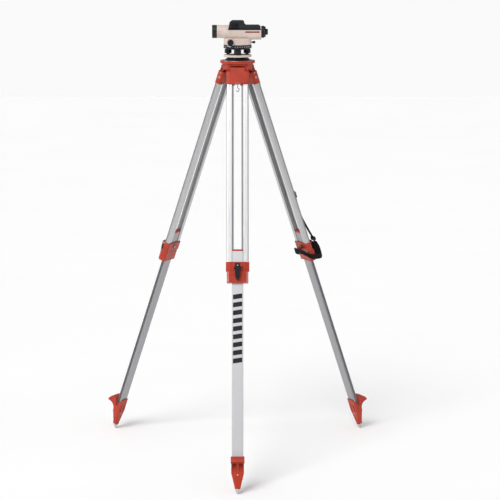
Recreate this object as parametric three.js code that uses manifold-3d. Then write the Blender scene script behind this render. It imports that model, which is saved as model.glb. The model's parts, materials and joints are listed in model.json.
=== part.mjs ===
// Automatic level set up on its three-legged stand. Millimetres, +Z up.
// The telescope points along -X, the eyepiece faces +X and the front leg stands towards -Y.
import * as THREE from "three";
import { mergeVertices } from "three/addons/utils/BufferGeometryUtils.js";
import Module from "manifold-3d";

const wasm = await Module();
wasm.setup();

// ---------------------------------------------------------------- driving dimensions
const GAP = 0.3; // between pieces that touch
const LEG_TILT = THREE.MathUtils.degToRad(20); // legs from the vertical, as set up
const LEG_LENGTH = 1530; // hinge to ground point, along the leg
const LEG_AZIMUTHS = { front: -90, right: 30, left: 150 }; // degrees
const POINT_OFFSET = 11; // the ground point lies this far inside the leg's axis
const HINGE_RADIUS = 44; // leg hinges from the stand's axis
const HINGE_DROP = 33; // hinges below the head's top
const HINGE_HEIGHT = LEG_LENGTH * Math.cos(LEG_TILT) + POINT_OFFSET * Math.sin(LEG_TILT);
const HEAD_HEIGHT = HINGE_HEIGHT + HINGE_DROP;

const HEAD_RADIUS = 63.5;
const HEAD_HOLE = 20; // lets the fixing screw shift sideways
const SCREW_RADIUS = 7.9; // 5/8 inch fixing screw

const TONGUE_WIDTH = 52;
const LUG_WIDTH = 11.5;
const PIN_RADIUS = 5;
const YOKE = { width: 83, depth: 27, corner: 9.5, shoulder: 8, bottom: 56 };
const RAIL = { overall: 79, width: 25.5, depth: 20.4, corner: 8.5, top: 24, bottom: 741 };
const RUNNER = { depth: 6.6, height: 8 }; // each rail's inner edge, which runs in a groove of the lower leg
const LOWER = { width: 40, depth: 17, wall: 2, top: 663, bottom: 1445 };
const PLUG_HEIGHT = 6;
const CLAMP = { top: 709, split: 743, bottom: 785, inner: -13.5, band: 13.5, body: 20 };
const LEVER = { width: 19, length: 60, pivotX: 26, pivotS: 724, nose: 9 };
const EAR = { width: 4, radius: 6.5 }; // the clamp holds the lever between two ears

// heights in the instrument are above the head's top
const PLATE_RADIUS = 51;
const FOOT_SCREW_CIRCLE = 40;
const LEVEL_SCREWS = [-90, 30, 150]; // azimuths of the levelling foot screws
const CIRCLE = { radius: 51.5, bottom: 44, top: 55 };
const DRUM = { radius: 50.5, bottom: 55.4, top: 80 };
const SIGHT_HEIGHT = 103.6; // the telescope's axis
const EYE_HEIGHT = 102.6; // the eyepiece's axis
const TUBE = { radius: 23.8, bore: 20, front: -75.3, back: -36 };
const BARREL = { front: -36, back: 86, half: 30, bottom: 75, top: 110.7, corner: 15 };
const COVER = { front: -35, back: 84, half: 30.5, bottom: 111, hump: 144.3, rear: 127.8, wall: 2.5 };

const FINISHES = {
  orange: { color: 0xbe4632, roughness: 0.45, metalness: 0 },
  aluminium: { color: 0xc9c8cc, roughness: 0.35, metalness: 0.9 },
  steel: { color: 0xa9aaad, roughness: 0.3, metalness: 1 },
  tan: { color: 0xd7c3b4, roughness: 0.5, metalness: 0 },
  black: { color: 0x1c1d21, roughness: 0.4, metalness: 0 },
  webbing: { color: 0x17171a, roughness: 0.9, metalness: 0 },
  brass: { color: 0xb89a55, roughness: 0.35, metalness: 1 },
  glass: { color: 0x9db4c4, roughness: 0.05, metalness: 0 },
};

// ---------------------------------------------------------------- solids
function solid(geometry) {
  const flat = geometry.index ? geometry.toNonIndexed() : geometry;
  flat.deleteAttribute("normal");
  flat.deleteAttribute("uv");
  const merged = mergeVertices(flat, 1e-4);
  const from = merged.index.array;
  const triangles = [];
  for (let i = 0; i < from.length; i += 3) {
    const [a, b, c] = [from[i], from[i + 1], from[i + 2]];
    if (a !== b && b !== c && a !== c) triangles.push(a, b, c);
  }
  const vertProperties = merged.attributes.position.array;
  const made = new wasm.Manifold(
    new wasm.Mesh({ numProp: 3, vertProperties, triVerts: new Uint32Array(triangles) }),
  );
  if (made.volume() > 0) return made;
  const turned = new Uint32Array(triangles.length);
  for (let i = 0; i < triangles.length; i += 3) {
    turned.set([triangles[i], triangles[i + 2], triangles[i + 1]], i);
  }
  return new wasm.Manifold(new wasm.Mesh({ numProp: 3, vertProperties, triVerts: turned }));
}

const join = (first, ...others) => others.reduce((sum, next) => sum.add(next), first);
const cut = (first, ...others) => others.reduce((rest, next) => rest.subtract(next), first);

function geometryOf(manifold) {
  const mesh = manifold.getMesh();
  const geometry = new THREE.BufferGeometry();
  geometry.setAttribute("position", new THREE.BufferAttribute(mesh.vertProperties, 3));
  geometry.setIndex(new THREE.BufferAttribute(mesh.triVerts, 1));
  const faceted = geometry.toNonIndexed();
  faceted.computeVertexNormals();
  return faceted;
}

function addPart(parent, name, manifold, finish) {
  const material = new THREE.MeshStandardMaterial({ ...FINISHES[finish], flatShading: true });
  const mesh = new THREE.Mesh(geometryOf(manifold), material);
  mesh.name = name;
  parent.add(mesh);
  return mesh;
}

// ---------------------------------------------------------------- outlines and sweeps
function polygon(points) {
  return new THREE.Shape(points.map(([x, y]) => new THREE.Vector2(x, y)));
}

function roundedBox(x0, x1, y0, y1, radius) {
  const shape = new THREE.Shape();
  shape.absarc(x1 - radius, y1 - radius, radius, 0, Math.PI / 2);
  shape.absarc(x0 + radius, y1 - radius, radius, Math.PI / 2, Math.PI);
  shape.absarc(x0 + radius, y0 + radius, radius, Math.PI, Math.PI * 1.5);
  shape.absarc(x1 - radius, y0 + radius, radius, Math.PI * 1.5, Math.PI * 2);
  return shape;
}

function sweep(shape, depth, segments = 3) {
  return new THREE.ExtrudeGeometry(shape, { depth, bevelEnabled: false, curveSegments: segments });
}

// a shape drawn in x and y, swept up from z0 to z1
const alongZ = (shape, z0, z1, segments) => solid(sweep(shape, z1 - z0, segments).translate(0, 0, z0));

// a shape drawn in x and z, swept along y
function alongY(shape, y0, y1, segments) {
  return solid(sweep(shape, y1 - y0, segments).rotateX(Math.PI / 2).translate(0, y1, 0));
}

// a shape drawn in y and z, swept along x
function alongX(shape, x0, x1, segments) {
  const turn = new THREE.Matrix4().makeBasis(
    new THREE.Vector3(0, 1, 0),
    new THREE.Vector3(0, 0, 1),
    new THREE.Vector3(1, 0, 0),
  );
  return solid(sweep(shape, x1 - x0, segments).applyMatrix4(turn).translate(x0, 0, 0));
}

function box(x0, x1, y0, y1, z0, z1) {
  const geometry = new THREE.BoxGeometry(x1 - x0, y1 - y0, z1 - z0);
  return solid(geometry.translate((x0 + x1) / 2, (y0 + y1) / 2, (z0 + z1) / 2));
}

// profiles are lists of [radius, height along the axis]
const ROUND = 32; // sides of the largest round pieces
function turned(profile, segments = 24) {
  const points = profile.map(([r, h]) => new THREE.Vector2(r, h));
  const closed = profile[0][0] > 0;
  if (closed) points.push(points[0].clone());
  return new THREE.LatheGeometry(points, segments);
}
const turnedZ = (profile, x, y, segments) =>
  solid(turned(profile, segments).rotateX(Math.PI / 2).translate(x, y, 0));
const turnedX = (profile, y, z, segments) =>
  solid(turned(profile, segments).rotateZ(-Math.PI / 2).translate(0, y, z));
const turnedY = (profile, x, z, segments) => solid(turned(profile, segments).translate(x, 0, z));
const rod = (radius, h0, h1) => [[0, h0], [radius, h0], [radius, h1], [0, h1]];

// a round outline with finger lobes, centred on the origin
function lobedOutline(radius, lobes, dip) {
  const steps = lobes * 2;
  const points = [];
  for (let i = 0; i < steps; i++) {
    const angle = (i / steps) * Math.PI * 2;
    const r = radius - dip * (1 - Math.cos(angle * lobes)) / 2;
    points.push([r * Math.cos(angle), r * Math.sin(angle)]);
  }
  return polygon(points);
}

// ---------------------------------------------------------------- stand head
function headPlate() {
  const outer = HEAD_RADIUS - 2.5;
  return turnedZ([[HEAD_HOLE, -3], [outer, -3], [outer, -0.4], [outer - 0.4, 0], [HEAD_HOLE, 0]], 0, 0, ROUND);
}

function headCasting() {
  const seat = HEAD_RADIUS - 2.5 + GAP;
  const neck = 56.5;
  const skirt = { inner: 42, bottom: 0.5 - HINGE_DROP };
  const roof = -18; // of the three rooms for the legs' tongues
  let casting = turnedZ([
    [HEAD_HOLE, -3 - GAP], [seat, -3 - GAP], [seat, -0.5], [HEAD_RADIUS - 1, -0.5], [HEAD_RADIUS, -1.5],
    [HEAD_RADIUS, -8.5], [HEAD_RADIUS - 2, -10.5], [neck, -12], [neck, skirt.bottom], [skirt.inner, skirt.bottom],
    [skirt.inner, roof], [HEAD_HOLE, roof],
  ], 0, 0, ROUND);
  const lug = new THREE.Shape();
  lug.moveTo(HINGE_RADIUS + 3, -16);
  lug.lineTo(HINGE_RADIUS - 12, -16);
  lug.absarc(HINGE_RADIUS, -HINGE_DROP, YOKE.shoulder - 0.5, Math.PI, Math.PI * 2);
  const inner = TONGUE_WIDTH / 2 + 0.5;
  const room = box(skirt.inner - 14, HEAD_RADIUS + 5, -inner, inner, -HINGE_DROP - 10, roof);
  const bore = turnedY(rod(PIN_RADIUS + 0.4, -60, 60), HINGE_RADIUS, -HINGE_DROP, 12);
  for (const azimuth of Object.values(LEG_AZIMUTHS)) {
    const lugs = join(
      alongY(lug, inner, inner + LUG_WIDTH, 5),
      alongY(lug, -inner - LUG_WIDTH, -inner, 5),
    );
    casting = casting.add(lugs.rotate([0, 0, azimuth])).subtract(room.rotate([0, 0, azimuth]));
  }
  for (const azimuth of Object.values(LEG_AZIMUTHS)) casting = casting.subtract(bore.rotate([0, 0, azimuth]));
  return casting;
}

function hingeBolt() {
  const end = TONGUE_WIDTH / 2 + LUG_WIDTH - 1; // just inside the lugs' outer faces
  return turnedY([
    [0, -end], [PIN_RADIUS - 0.8, -end], [PIN_RADIUS, 0.8 - end], [PIN_RADIUS, end - 0.8], [PIN_RADIUS - 0.8, end],
    [0, end],
  ], 0, 0, 12);
}

function fixingScrew() {
  const handle = lobedOutline(24, 10, 1.6);
  const spindle = turnedZ([
    [0, -86], [9, -86], [11, -84], [11, -60], [9.5, -45], [11, -31], [SCREW_RADIUS, -31],
    [SCREW_RADIUS, 13], [SCREW_RADIUS - 1.5, 14.5], [0, 14.5],
  ], 0, 0, 20);
  return join(spindle, alongZ(handle, -31.5, -18 - GAP));
}

function plumbHook() {
  const curve = new THREE.CatmullRomCurve3([
    [0, 0, -86 - GAP], [0, 0, -94], [0, 0, -101], [5, 0, -106], [5, 0, -112], [0, 0, -116], [-5, 0, -112],
  ].map((p) => new THREE.Vector3(...p)));
  const section = polygon([[1.6, 0], [1.1, 1.1], [0, 1.6], [-1.1, 1.1], [-1.6, 0], [-1.1, -1.1], [0, -1.6], [1.1, -1.1]]);
  return solid(new THREE.ExtrudeGeometry(section, { steps: 14, extrudePath: curve, bevelEnabled: false }));
}

// ---------------------------------------------------------------- legs
// In a leg's frame the hinge is the origin, x points out of the leg's outer face,
// y across the leg, and z up along it, so a station s below the hinge is at z = -s.
function railSizes(clearance) {
  const inner = RAIL.overall / 2 - RAIL.width - clearance;
  return {
    outer: RAIL.overall / 2 + clearance,
    inner,
    edge: inner + RUNNER.depth, // where the runner starts
    half: RAIL.depth / 2 + clearance,
    runner: RUNNER.height / 2 + clearance,
  };
}

function railSection() {
  const { outer, inner, edge, half, runner } = railSizes(0);
  const r = RAIL.corner;
  const line = edge + 8; // a shallow groove down each face
  const shape = new THREE.Shape();
  shape.moveTo(-runner, inner);
  shape.lineTo(runner, inner);
  shape.lineTo(runner, edge);
  shape.lineTo(half, edge);
  shape.lineTo(half, line);
  shape.lineTo(half - 0.8, line + 1);
  shape.lineTo(half, line + 2);
  shape.absarc(half - r, outer - r, r, 0, Math.PI / 2);
  shape.absarc(-half + r, outer - r, r, Math.PI / 2, Math.PI);
  shape.lineTo(-half, line + 2);
  shape.lineTo(-half + 0.8, line + 1);
  shape.lineTo(-half, line);
  shape.lineTo(-half, edge);
  shape.lineTo(-runner, edge);
  const wall = 2.2;
  shape.holes.push(roundedBox(-half + wall, half - wall, edge + wall, outer - wall, r - wall));
  return shape;
}

// the space that a rail takes up, with a gap all round, for the pieces that hold it
function railRoom(side, z0, z1) {
  const { outer, inner, edge, half, runner } = railSizes(GAP);
  const r = RAIL.corner + GAP;
  const bar = new THREE.Shape();
  bar.moveTo(-half, edge);
  bar.lineTo(half, edge);
  bar.absarc(half - r, outer - r, r, 0, Math.PI / 2);
  bar.absarc(-half + r, outer - r, r, Math.PI / 2, Math.PI);
  const room = join(alongZ(bar, z0, z1), box(-runner, runner, inner, edge + 1, z0, z1));
  return side > 0 ? room : room.rotate([0, 0, 180]);
}

const rail = () => alongZ(railSection(), -RAIL.bottom, -RAIL.top, 3);

function legYoke() {
  const half = YOKE.depth / 2;
  const tongue = new THREE.Shape();
  tongue.absarc(0, 0, half, 0, Math.PI);
  tongue.lineTo(-half, -YOKE.shoulder - 2);
  tongue.lineTo(half, -YOKE.shoulder - 2);
  const block = roundedBox(-half, half, -YOKE.width / 2, YOKE.width / 2, YOKE.corner);
  let yoke = join(
    alongY(tongue, -TONGUE_WIDTH / 2, TONGUE_WIDTH / 2, 6),
    alongZ(block, -YOKE.bottom, -YOKE.shoulder, 3),
  );
  for (const side of [-1, 1]) yoke = yoke.subtract(railRoom(side, -YOKE.bottom - 1, -RAIL.top + GAP));
  const bore = turnedY(rod(PIN_RADIUS + 0.4, -40, 40), 0, 0, 12);
  const notch = box(-half - 1, half + 1, -10, 10, -YOKE.bottom - 1, -YOKE.bottom + 4);
  return cut(yoke, bore, notch);
}

function legClamp() {
  const { inner, band, body, top, split, bottom } = CLAMP;
  const upper = polygon([
    [inner, -38], [inner + 4, -42], [band - 5, -42], [band, -29], [band, 29], [band - 5, 42], [inner + 4, 42],
    [inner, 38],
  ]);
  const lower = polygon([
    [inner + 1.5, -35], [inner + 5, -38.5], [body - 8, -38.5], [body, -31], [body, 31], [body - 8, 38.5],
    [inner + 5, 38.5], [inner + 1.5, 35],
  ]);
  const ear = new THREE.Shape();
  ear.absarc(LEVER.pivotX, -LEVER.pivotS, EAR.radius, -Math.PI / 2, Math.PI / 2);
  ear.lineTo(band - 1, -LEVER.pivotS + EAR.radius + 1.5);
  ear.lineTo(band - 1, -LEVER.pivotS - EAR.radius - 7);
  const earInner = LEVER.width / 2 + GAP;
  const shell = join(
    alongZ(upper, -split, -top),
    alongZ(lower, -bottom, -split + 1),
    alongY(ear, earInner, earInner + EAR.width, 4),
    alongY(ear, -earInner - EAR.width, -earInner, 4),
  );
  const slide = box(
    -LOWER.depth / 2 - 0.4, LOWER.depth / 2 + 0.4, -LOWER.width / 2 - 0.4, LOWER.width / 2 + 0.4, -900, 0,
  );
  const depth = -RAIL.bottom - GAP;
  return cut(shell, railRoom(1, depth, 0), railRoom(-1, depth, 0), slide);
}

// pivot at the origin, hanging down in front of the clamp
function clampLever() {
  const r = LEVER.nose;
  const end = LEVER.nose - LEVER.length;
  const half = LEVER.width / 2;
  const side = new THREE.Shape();
  side.absarc(0, 0, r, 0, Math.PI * 1.4);
  side.lineTo(2, -13);
  side.lineTo(-1, end + 1);
  side.lineTo(0, end);
  side.lineTo(4.5, end);
  side.lineTo(5.5, end + 2);
  const front = polygon([
    [-half, -20], [-half + 1.5, end + 7], [-half + 3, end + 2.5], [-half + 6, end], [half - 6, end],
    [half - 3, end + 2.5], [half - 1.5, end + 7], [half, -20], [half, r - 2], [half - 2, r], [-half + 2, r],
    [-half, r - 2],
  ]);
  return alongY(side, -half, half, 7).intersect(alongX(front, -r - 1, r + 1));
}

// the lower leg's outline, with a groove down each side for the rails' runners
function lowerSection() {
  const [x, y] = [LOWER.depth / 2, LOWER.width / 2];
  const groove = RUNNER.height / 2 + GAP;
  const floor = RAIL.overall / 2 - RAIL.width - GAP;
  const corner = 1.5;
  return polygon([
    [x - corner, -y], [x, corner - y], [x, y - corner], [x - corner, y], [groove, y], [groove, floor],
    [-groove, floor], [-groove, y], [corner - x, y], [-x, y - corner], [-x, corner - y], [corner - x, -y],
    [-groove, -y], [-groove, -floor], [groove, -floor], [groove, -y],
  ]);
}

function innerLeg() {
  const section = lowerSection();
  const [x, y] = [LOWER.depth / 2 - LOWER.wall, RAIL.overall / 2 - RAIL.width - GAP - LOWER.wall];
  section.holes.push(roundedBox(-x, x, -y, y, 1));
  return alongZ(section, -LOWER.bottom, -LOWER.top - PLUG_HEIGHT - GAP, 2);
}

const endPlug = () => alongZ(lowerSection(), -LOWER.top - PLUG_HEIGHT, -LOWER.top);

// in the foot's own frame z rises from the ground point, x is as in the leg's frame
function footPoint(grow) {
  return turnedZ([
    [0, -grow], [2.5 + grow, -grow], [10 + grow, 19 + grow / 2], [10 + grow, 21 + grow], [6 + grow, 21 + grow],
    [6 + grow, 34 + grow], [0, 34 + grow],
  ], 0, 0, 16);
}

function foot() {
  const side = new THREE.Shape();
  side.moveTo(-15, 17);
  side.lineTo(-12.5, 60);
  side.lineTo(-11.5, 132);
  side.lineTo(1, 112);
  side.lineTo(4, 89);
  side.lineTo(9.5, 116);
  side.lineTo(12, 126);
  side.quadraticCurveTo(15, 130, 21, 130);
  side.lineTo(33, 129);
  side.quadraticCurveTo(43, 125, 48, 110);
  side.lineTo(46, 107.5);
  side.lineTo(34, 106);
  side.quadraticCurveTo(22, 100, 16, 86);
  side.lineTo(12, 70);
  side.lineTo(6, 17);
  const collar = 24; // half the width of the tread
  const body = alongY(side, -collar, collar, 5);
  const front = polygon([
    [-22.4, 72], [-9, 15], [9, 15], [22.4, 72], [22.4, 140], [-22.4, 140],
  ]);
  const tread = polygon([
    [-20, 60], [20, 60], [22.4, 104], [collar, 106], [collar, 128], [collar - 2, 131], [2 - collar, 131],
    [-collar, 128], [-collar, 106], [-22.4, 104],
  ]);
  const rounded = roundedBox(-60, 60, -collar, collar, 5);
  const outside = alongX(front, -20, 14).add(alongX(tread, 13, 60));
  const socket = box(
    -LOWER.depth / 2 - 0.4, LOWER.depth / 2 + 0.4, -LOWER.width / 2 - 0.4, LOWER.width / 2 + 0.4,
    LEG_LENGTH - LOWER.bottom - 1, 160,
  );
  const hollow = box(12.5, 60, 5, 18.5, 76, 105); // under the tread, one each side of a rib
  return cut(
    body.intersect(outside).intersect(alongZ(rounded, 0, 150, 3)), socket, hollow, hollow.mirror([0, 1, 0]),
  );
}

function addLeg(parent, side) {
  const azimuth = THREE.MathUtils.degToRad(LEG_AZIMUTHS[side]);
  const bearing = new THREE.Group();
  bearing.rotation.z = azimuth;
  const hinge = new THREE.Group();
  hinge.position.set(HINGE_RADIUS, 0, HINGE_HEIGHT);
  bearing.add(hinge);
  const leg = new THREE.Group();
  leg.rotation.y = -LEG_TILT;
  hinge.add(leg);
  parent.add(bearing);

  addPart(hinge, `hinge_bolt_${side}`, hingeBolt(), "steel");
  addPart(leg, `leg_yoke_${side}`, legYoke(), "orange");
  addPart(leg, `rail_${side}_a`, rail(), "aluminium");
  addPart(leg, `rail_${side}_b`, rail().rotate([0, 0, 180]), "aluminium");
  addPart(leg, `leg_clamp_${side}`, legClamp(), "orange");
  const lever = addPart(leg, `clamp_lever_${side}`, clampLever(), "black");
  lever.position.set(LEVER.pivotX, 0, -LEVER.pivotS);
  addPart(leg, `inner_leg_${side}`, innerLeg(), "aluminium");
  addPart(leg, `end_plug_${side}`, endPlug(), "orange");

  // the point stands upright on the ground, so it is turned back by the leg's tilt
  const tilt = THREE.MathUtils.radToDeg(LEG_TILT);
  const upright = (grow) => footPoint(grow).rotate([0, tilt, 0]).translate([-POINT_OFFSET, 0, 0]);
  const shoe = addPart(leg, `foot_${side}`, foot().subtract(upright(GAP + 0.1)), "orange");
  shoe.position.z = -LEG_LENGTH;
  const point = addPart(leg, `foot_point_${side}`, upright(0), "steel");
  point.position.z = -LEG_LENGTH;
  return leg;
}

// ---------------------------------------------------------------- carrying strap
const STRAP = { near: -13, far: -29, thickness: 2.2 }; // its edges across the leg

// flat webbing that follows points in the plane of the leg: a long thin box, bent along the curve
function webbing(points, y0, y1, thickness, steps) {
  const curve = new THREE.SplineCurve(points.map(([x, z]) => new THREE.Vector2(x, z)));
  const strip = new THREE.BoxGeometry(thickness, y1 - y0, 1, 1, 1, steps);
  const place = strip.attributes.position;
  for (let i = 0; i < place.count; i++) {
    const share = place.getZ(i) + 0.5;
    const p = curve.getPoint(share);
    const along = curve.getTangent(share);
    const out = place.getX(i);
    place.setXYZ(i, p.x + along.y * out, place.getY(i) + (y0 + y1) / 2, p.y - along.x * out);
  }
  return solid(strip);
}

const carryStrap = () =>
  webbing([
    [15.4, -60], [12.6, -90], [12.4, -300], [12.8, -470], [14.3, -503], [14.3, -527], [12.8, -560], [13.2, -600],
    [23, -655], [34.6, -704], [37, -715.5],
  ], STRAP.far, STRAP.near, STRAP.thickness, 36);

// a buckle: a plate with a slot that the strap runs through
function strapBuckle(x, half, bottom, top) {
  const frame = roundedBox(x - half, x + half, bottom, top, 2);
  const room = box(
    x - half + 1.4, x + half - 1.4, STRAP.far - GAP, STRAP.near + GAP, bottom - 1, top + 1,
  );
  return alongY(frame, STRAP.far - 3, STRAP.near + 2.5, 3).subtract(room);
}

// a slack loop round the clamp, lower on the leg's outer side and curling up behind it,
// and the rest of the strap folded up beside it
function strapLoop() {
  const [inner, outer, half, height, slope, curl] = [-33, 46, 47, 20, 0.4, 0.018];
  const corner = 30;
  const ring = roundedBox(inner, outer, -half, half, corner);
  ring.holes.push(roundedBox(
    inner + STRAP.thickness, outer - STRAP.thickness, -half + STRAP.thickness, half - STRAP.thickness,
    corner - STRAP.thickness,
  ));
  const band = sweep(ring, height, 6).translate(0, 0, -height / 2);
  const place = band.attributes.position;
  for (let i = 0; i < place.count; i++) {
    const x = place.getX(i);
    place.setZ(i, place.getZ(i) - 766 - slope * x + curl * Math.min(x, 0) ** 2);
  }
  const loop = solid(band);
  const folds = webbing([
    [36, -719], [43, -745], [41.8, -778], [38.5, -786], [35.2, -780], [36, -745], [33, -724], [29.5, -721],
    [26.5, -726], [28.5, -750], [29.5, -776], [31.5, -781],
  ], STRAP.far - 8, STRAP.near - 3, STRAP.thickness, 60);
  return join(loop, folds);
}

function addStrap(leg) {
  addPart(leg, "carry_strap", carryStrap(), "webbing");
  addPart(leg, "strap_slider", strapBuckle(14.4, 3.8, -527, -503), "black");
  addPart(leg, "strap_hook", strapBuckle(35.6, 5, -716, -702), "black");
  addPart(leg, "strap_loop", strapLoop(), "webbing");
}

// ---------------------------------------------------------------- levelling base
function springPlate() {
  return turnedZ([
    [SCREW_RADIUS + 0.4, GAP], [40, GAP], [45, 2.5], [45, 4], [38, 8], [36, 11.4], [SCREW_RADIUS + 0.4, 11.4],
  ], 0, 0, ROUND);
}

function basePlate() {
  const plate = turnedZ([
    [0, 11.7], [PLATE_RADIUS - 3, 11.7], [PLATE_RADIUS, 13.7], [PLATE_RADIUS, 18.6], [PLATE_RADIUS - 1.5, 20.1],
    [0, 20.1],
  ], 0, 0, ROUND);
  return plate.subtract(turnedZ(rod(SCREW_RADIUS + 0.4, 0, 16), 0, 0, 20));
}

function footScrew() {
  const spindle = turnedZ([
    [0, 20.4], [5, 20.4], [6.5, 22], [6.5, 24], [3.6, 26], [3.6, 40], [0, 40],
  ], 0, 0, 14);
  return join(spindle, alongZ(lobedOutline(13.5, 8, 1.5), 24, 38.5));
}

function tribrach() {
  const corner = new THREE.Shape();
  for (const azimuth of LEVEL_SCREWS) {
    const a = THREE.MathUtils.degToRad(azimuth);
    const reach = FOOT_SCREW_CIRCLE - 4;
    corner.absarc(reach * Math.cos(a), reach * Math.sin(a), 14, a - Math.PI / 3, a + Math.PI / 3);
  }
  const hub = turnedZ([
    [0, 20.4], [14, 20.4], [11, 24], [11, 36], [22, 39.5], [23.4, 44], [23.4, 53], [0, 53],
  ], 0, 0, 28);
  let arms = join(alongZ(corner, 39.2, 43.6, 6), hub);
  for (const azimuth of LEVEL_SCREWS) {
    const a = THREE.MathUtils.degToRad(azimuth);
    const hole = turnedZ(rod(4.2, 30, 42), FOOT_SCREW_CIRCLE * Math.cos(a), FOOT_SCREW_CIRCLE * Math.sin(a), 14);
    arms = arms.subtract(hole);
  }
  return arms;
}

function horizontalCircle() {
  const { radius, bottom, top } = CIRCLE;
  return turnedZ([
    [24, bottom], [radius - 1, bottom], [radius, bottom + 1], [radius, top - 1], [radius - 1, top], [24, top],
  ], 0, 0, ROUND);
}

// ---------------------------------------------------------------- upper part of the instrument
const KNOB_AXIS = { x: -25.6, z: 66.6, radius: 11.4, boss: 16, bossEnd: 49.2 };
const FOCUS_AXIS = { x: 5, z: 98 };
const BUTTON_HEIGHT = 65;

function barrelSection(inset) {
  const { half, bottom, top, corner } = BARREL;
  const [y, z0, z1] = [half - inset, bottom + inset, top];
  const shape = new THREE.Shape();
  shape.moveTo(y, z1);
  shape.lineTo(-y, z1);
  shape.absarc(-y + corner, z0 + corner, corner, Math.PI, Math.PI * 1.5);
  shape.absarc(y - corner, z0 + corner, corner, Math.PI * 1.5, Math.PI * 2);
  return shape;
}

function housing() {
  const drum = turnedZ([
    [0, DRUM.bottom], [DRUM.radius - 2, DRUM.bottom], [DRUM.radius, DRUM.bottom + 2],
    [DRUM.radius, DRUM.top - 0.8], [DRUM.radius - 4.5, DRUM.top + 0.4], [0, DRUM.top + 0.4],
  ], 0, 0, ROUND);
  const barrel = alongX(barrelSection(0), BARREL.front, BARREL.back, 5);
  const tube = turnedX(rod(TUBE.radius, TUBE.front, TUBE.back), 0, SIGHT_HEIGHT, 28);
  const neck = turnedX([
    [0, -56], [TUBE.radius - 0.5, -56], [29, BARREL.front - 0.5], [29, BARREL.front + 1], [0, BARREL.front + 1],
  ], 0, SIGHT_HEIGHT, 28).intersect(box(-60, 0, -40, 40, 70, BARREL.top));
  const boss = turnedY(rod(KNOB_AXIS.boss, -KNOB_AXIS.bossEnd, KNOB_AXIS.bossEnd), KNOB_AXIS.x, KNOB_AXIS.z, 24)
    .intersect(box(-60, 0, -60, 60, DRUM.bottom, 100));
  const room = box(BARREL.front + 3, BARREL.back - 6, -26, 26, 86, BARREL.top + 1);
  const bore = turnedX(rod(TUBE.bore, TUBE.front - 1, BARREL.front + 4), 0, SIGHT_HEIGHT, 28);
  const eyeHole = turnedX(rod(7.5, BARREL.back - 8, BARREL.back + 1), 0, EYE_HEIGHT, 16);
  const knobHole = turnedY(rod(4, -60, 60), KNOB_AXIS.x, KNOB_AXIS.z, 14);
  const focusHole = turnedY(rod(4.5, 20, 40), FOCUS_AXIS.x, FOCUS_AXIS.z, 14);
  const buttonHole = turnedX(rod(2.6, 35, 56), 0, BUTTON_HEIGHT, 12);
  return cut(join(drum, barrel, neck, tube, boss), room, bore, eyeHole, knobHole, focusHole, buttonHole);
}

function coverSide(inset) {
  const { front, back, bottom, hump, rear } = COVER;
  return polygon([
    [front + inset, bottom - (inset ? 1 : 0)], [back - inset, bottom - (inset ? 1 : 0)],
    [back - inset, rear - 6 - inset / 2], [back - 7 - inset / 2, rear - inset], [30 - inset, rear - inset],
    [26 - inset, rear + 3.5 - inset], [22.5 - inset, hump - 3 - inset], [19 - inset, hump - inset],
    [-20 + inset, hump - inset], [-29 + inset, hump - 7 - inset],
  ]);
}

function coverEnd(inset) {
  const half = COVER.half - inset;
  const top = COVER.hump + (inset ? -inset : 1);
  return polygon([
    [-half, COVER.bottom - 1], [half, COVER.bottom - 1], [half, 117], [half - 3, 127 - inset],
    [half - 8, top], [-half + 8, top], [-half + 3, 127 - inset], [-half, 117],
  ]);
}

function topCover() {
  const { half, wall } = COVER;
  const shell = alongY(coverSide(0), -half, half).intersect(alongX(coverEnd(0), -60, 100));
  const room = alongY(coverSide(wall), -half, half).intersect(alongX(coverEnd(wall), -60, 100));
  const light = turnedX(rod(TUBE.bore, -60, -20), 0, SIGHT_HEIGHT, 28);
  return cut(shell, room, light);
}

function objectiveRing() {
  return turnedX([
    [19.4, -93], [23, -93], [24.2, -92], [24.2, -76.5], [23.6, -75.6], [19.4, -75.6],
  ], 0, SIGHT_HEIGHT, 28);
}

const objectiveLens = () =>
  turnedX([[0, -90.5], [8, -90], [14, -88.8], [19.1, -86.8], [19.1, -84.5], [0, -84.5]], 0, SIGHT_HEIGHT, 28);

function eyepieceMount() {
  return turnedX([
    [7.5, 86.3], [21, 86.3], [22, 87.3], [22, 96], [20, 98], [19, 102.5], [7.5, 102.5],
  ], 0, EYE_HEIGHT, 28);
}

function eyepieceRing() {
  return turnedX([
    [5.9, 95], [7.1, 95], [7.1, 102.8], [10.2, 102.8], [11, 103.5], [11, 109.6], [10.2, 110.5], [7, 110.5],
    [5.9, 108.5],
  ], 0, EYE_HEIGHT, 20);
}

const eyepieceLens = () =>
  turnedX([[0, 101], [3.5, 101.3], [5.6, 102], [5.6, 104.4], [3.5, 105.1], [0, 105.4]], 0, EYE_HEIGHT, 16);
const reticlePlate = () => turnedX(rod(7, 81, 82.5), 0, EYE_HEIGHT, 16);

function focusKnob() {
  const shaft = turnedY(rod(4, 17, 34), FOCUS_AXIS.x, FOCUS_AXIS.z, 14);
  const knob = alongY(lobedOutline(15, 12, 1.2), 33, 47).translate([FOCUS_AXIS.x, 0, FOCUS_AXIS.z]);
  return join(shaft, knob);
}

const focusingCell = () =>
  turnedX([[0, 41], [9, 39], [11, 37], [14, 37], [14, 47], [11, 47], [9, 45], [0, 43]], 0, SIGHT_HEIGHT, 24);

function tangentShaft() {
  const { x, z, radius, bossEnd } = KNOB_AXIS;
  const shaft = turnedY(rod(3.6, -bossEnd - 2, bossEnd + 2), x, z, 14);
  const knob = (y0, y1) => alongY(lobedOutline(radius, 12, 0.8), y0, y1).translate([x, 0, z]);
  return join(shaft, knob(-bossEnd - 12, -bossEnd - 0.5), knob(bossEnd + 0.5, bossEnd + 12));
}

function compensator() {
  const prism = polygon([[-8, 92], [12, 92], [12, 110], [-8, 122]]);
  return join(alongY(prism, -9, 9), box(0, 4, -9, 9, 110, 134), box(-3, 7, -14, 14, 132, 136));
}

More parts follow.
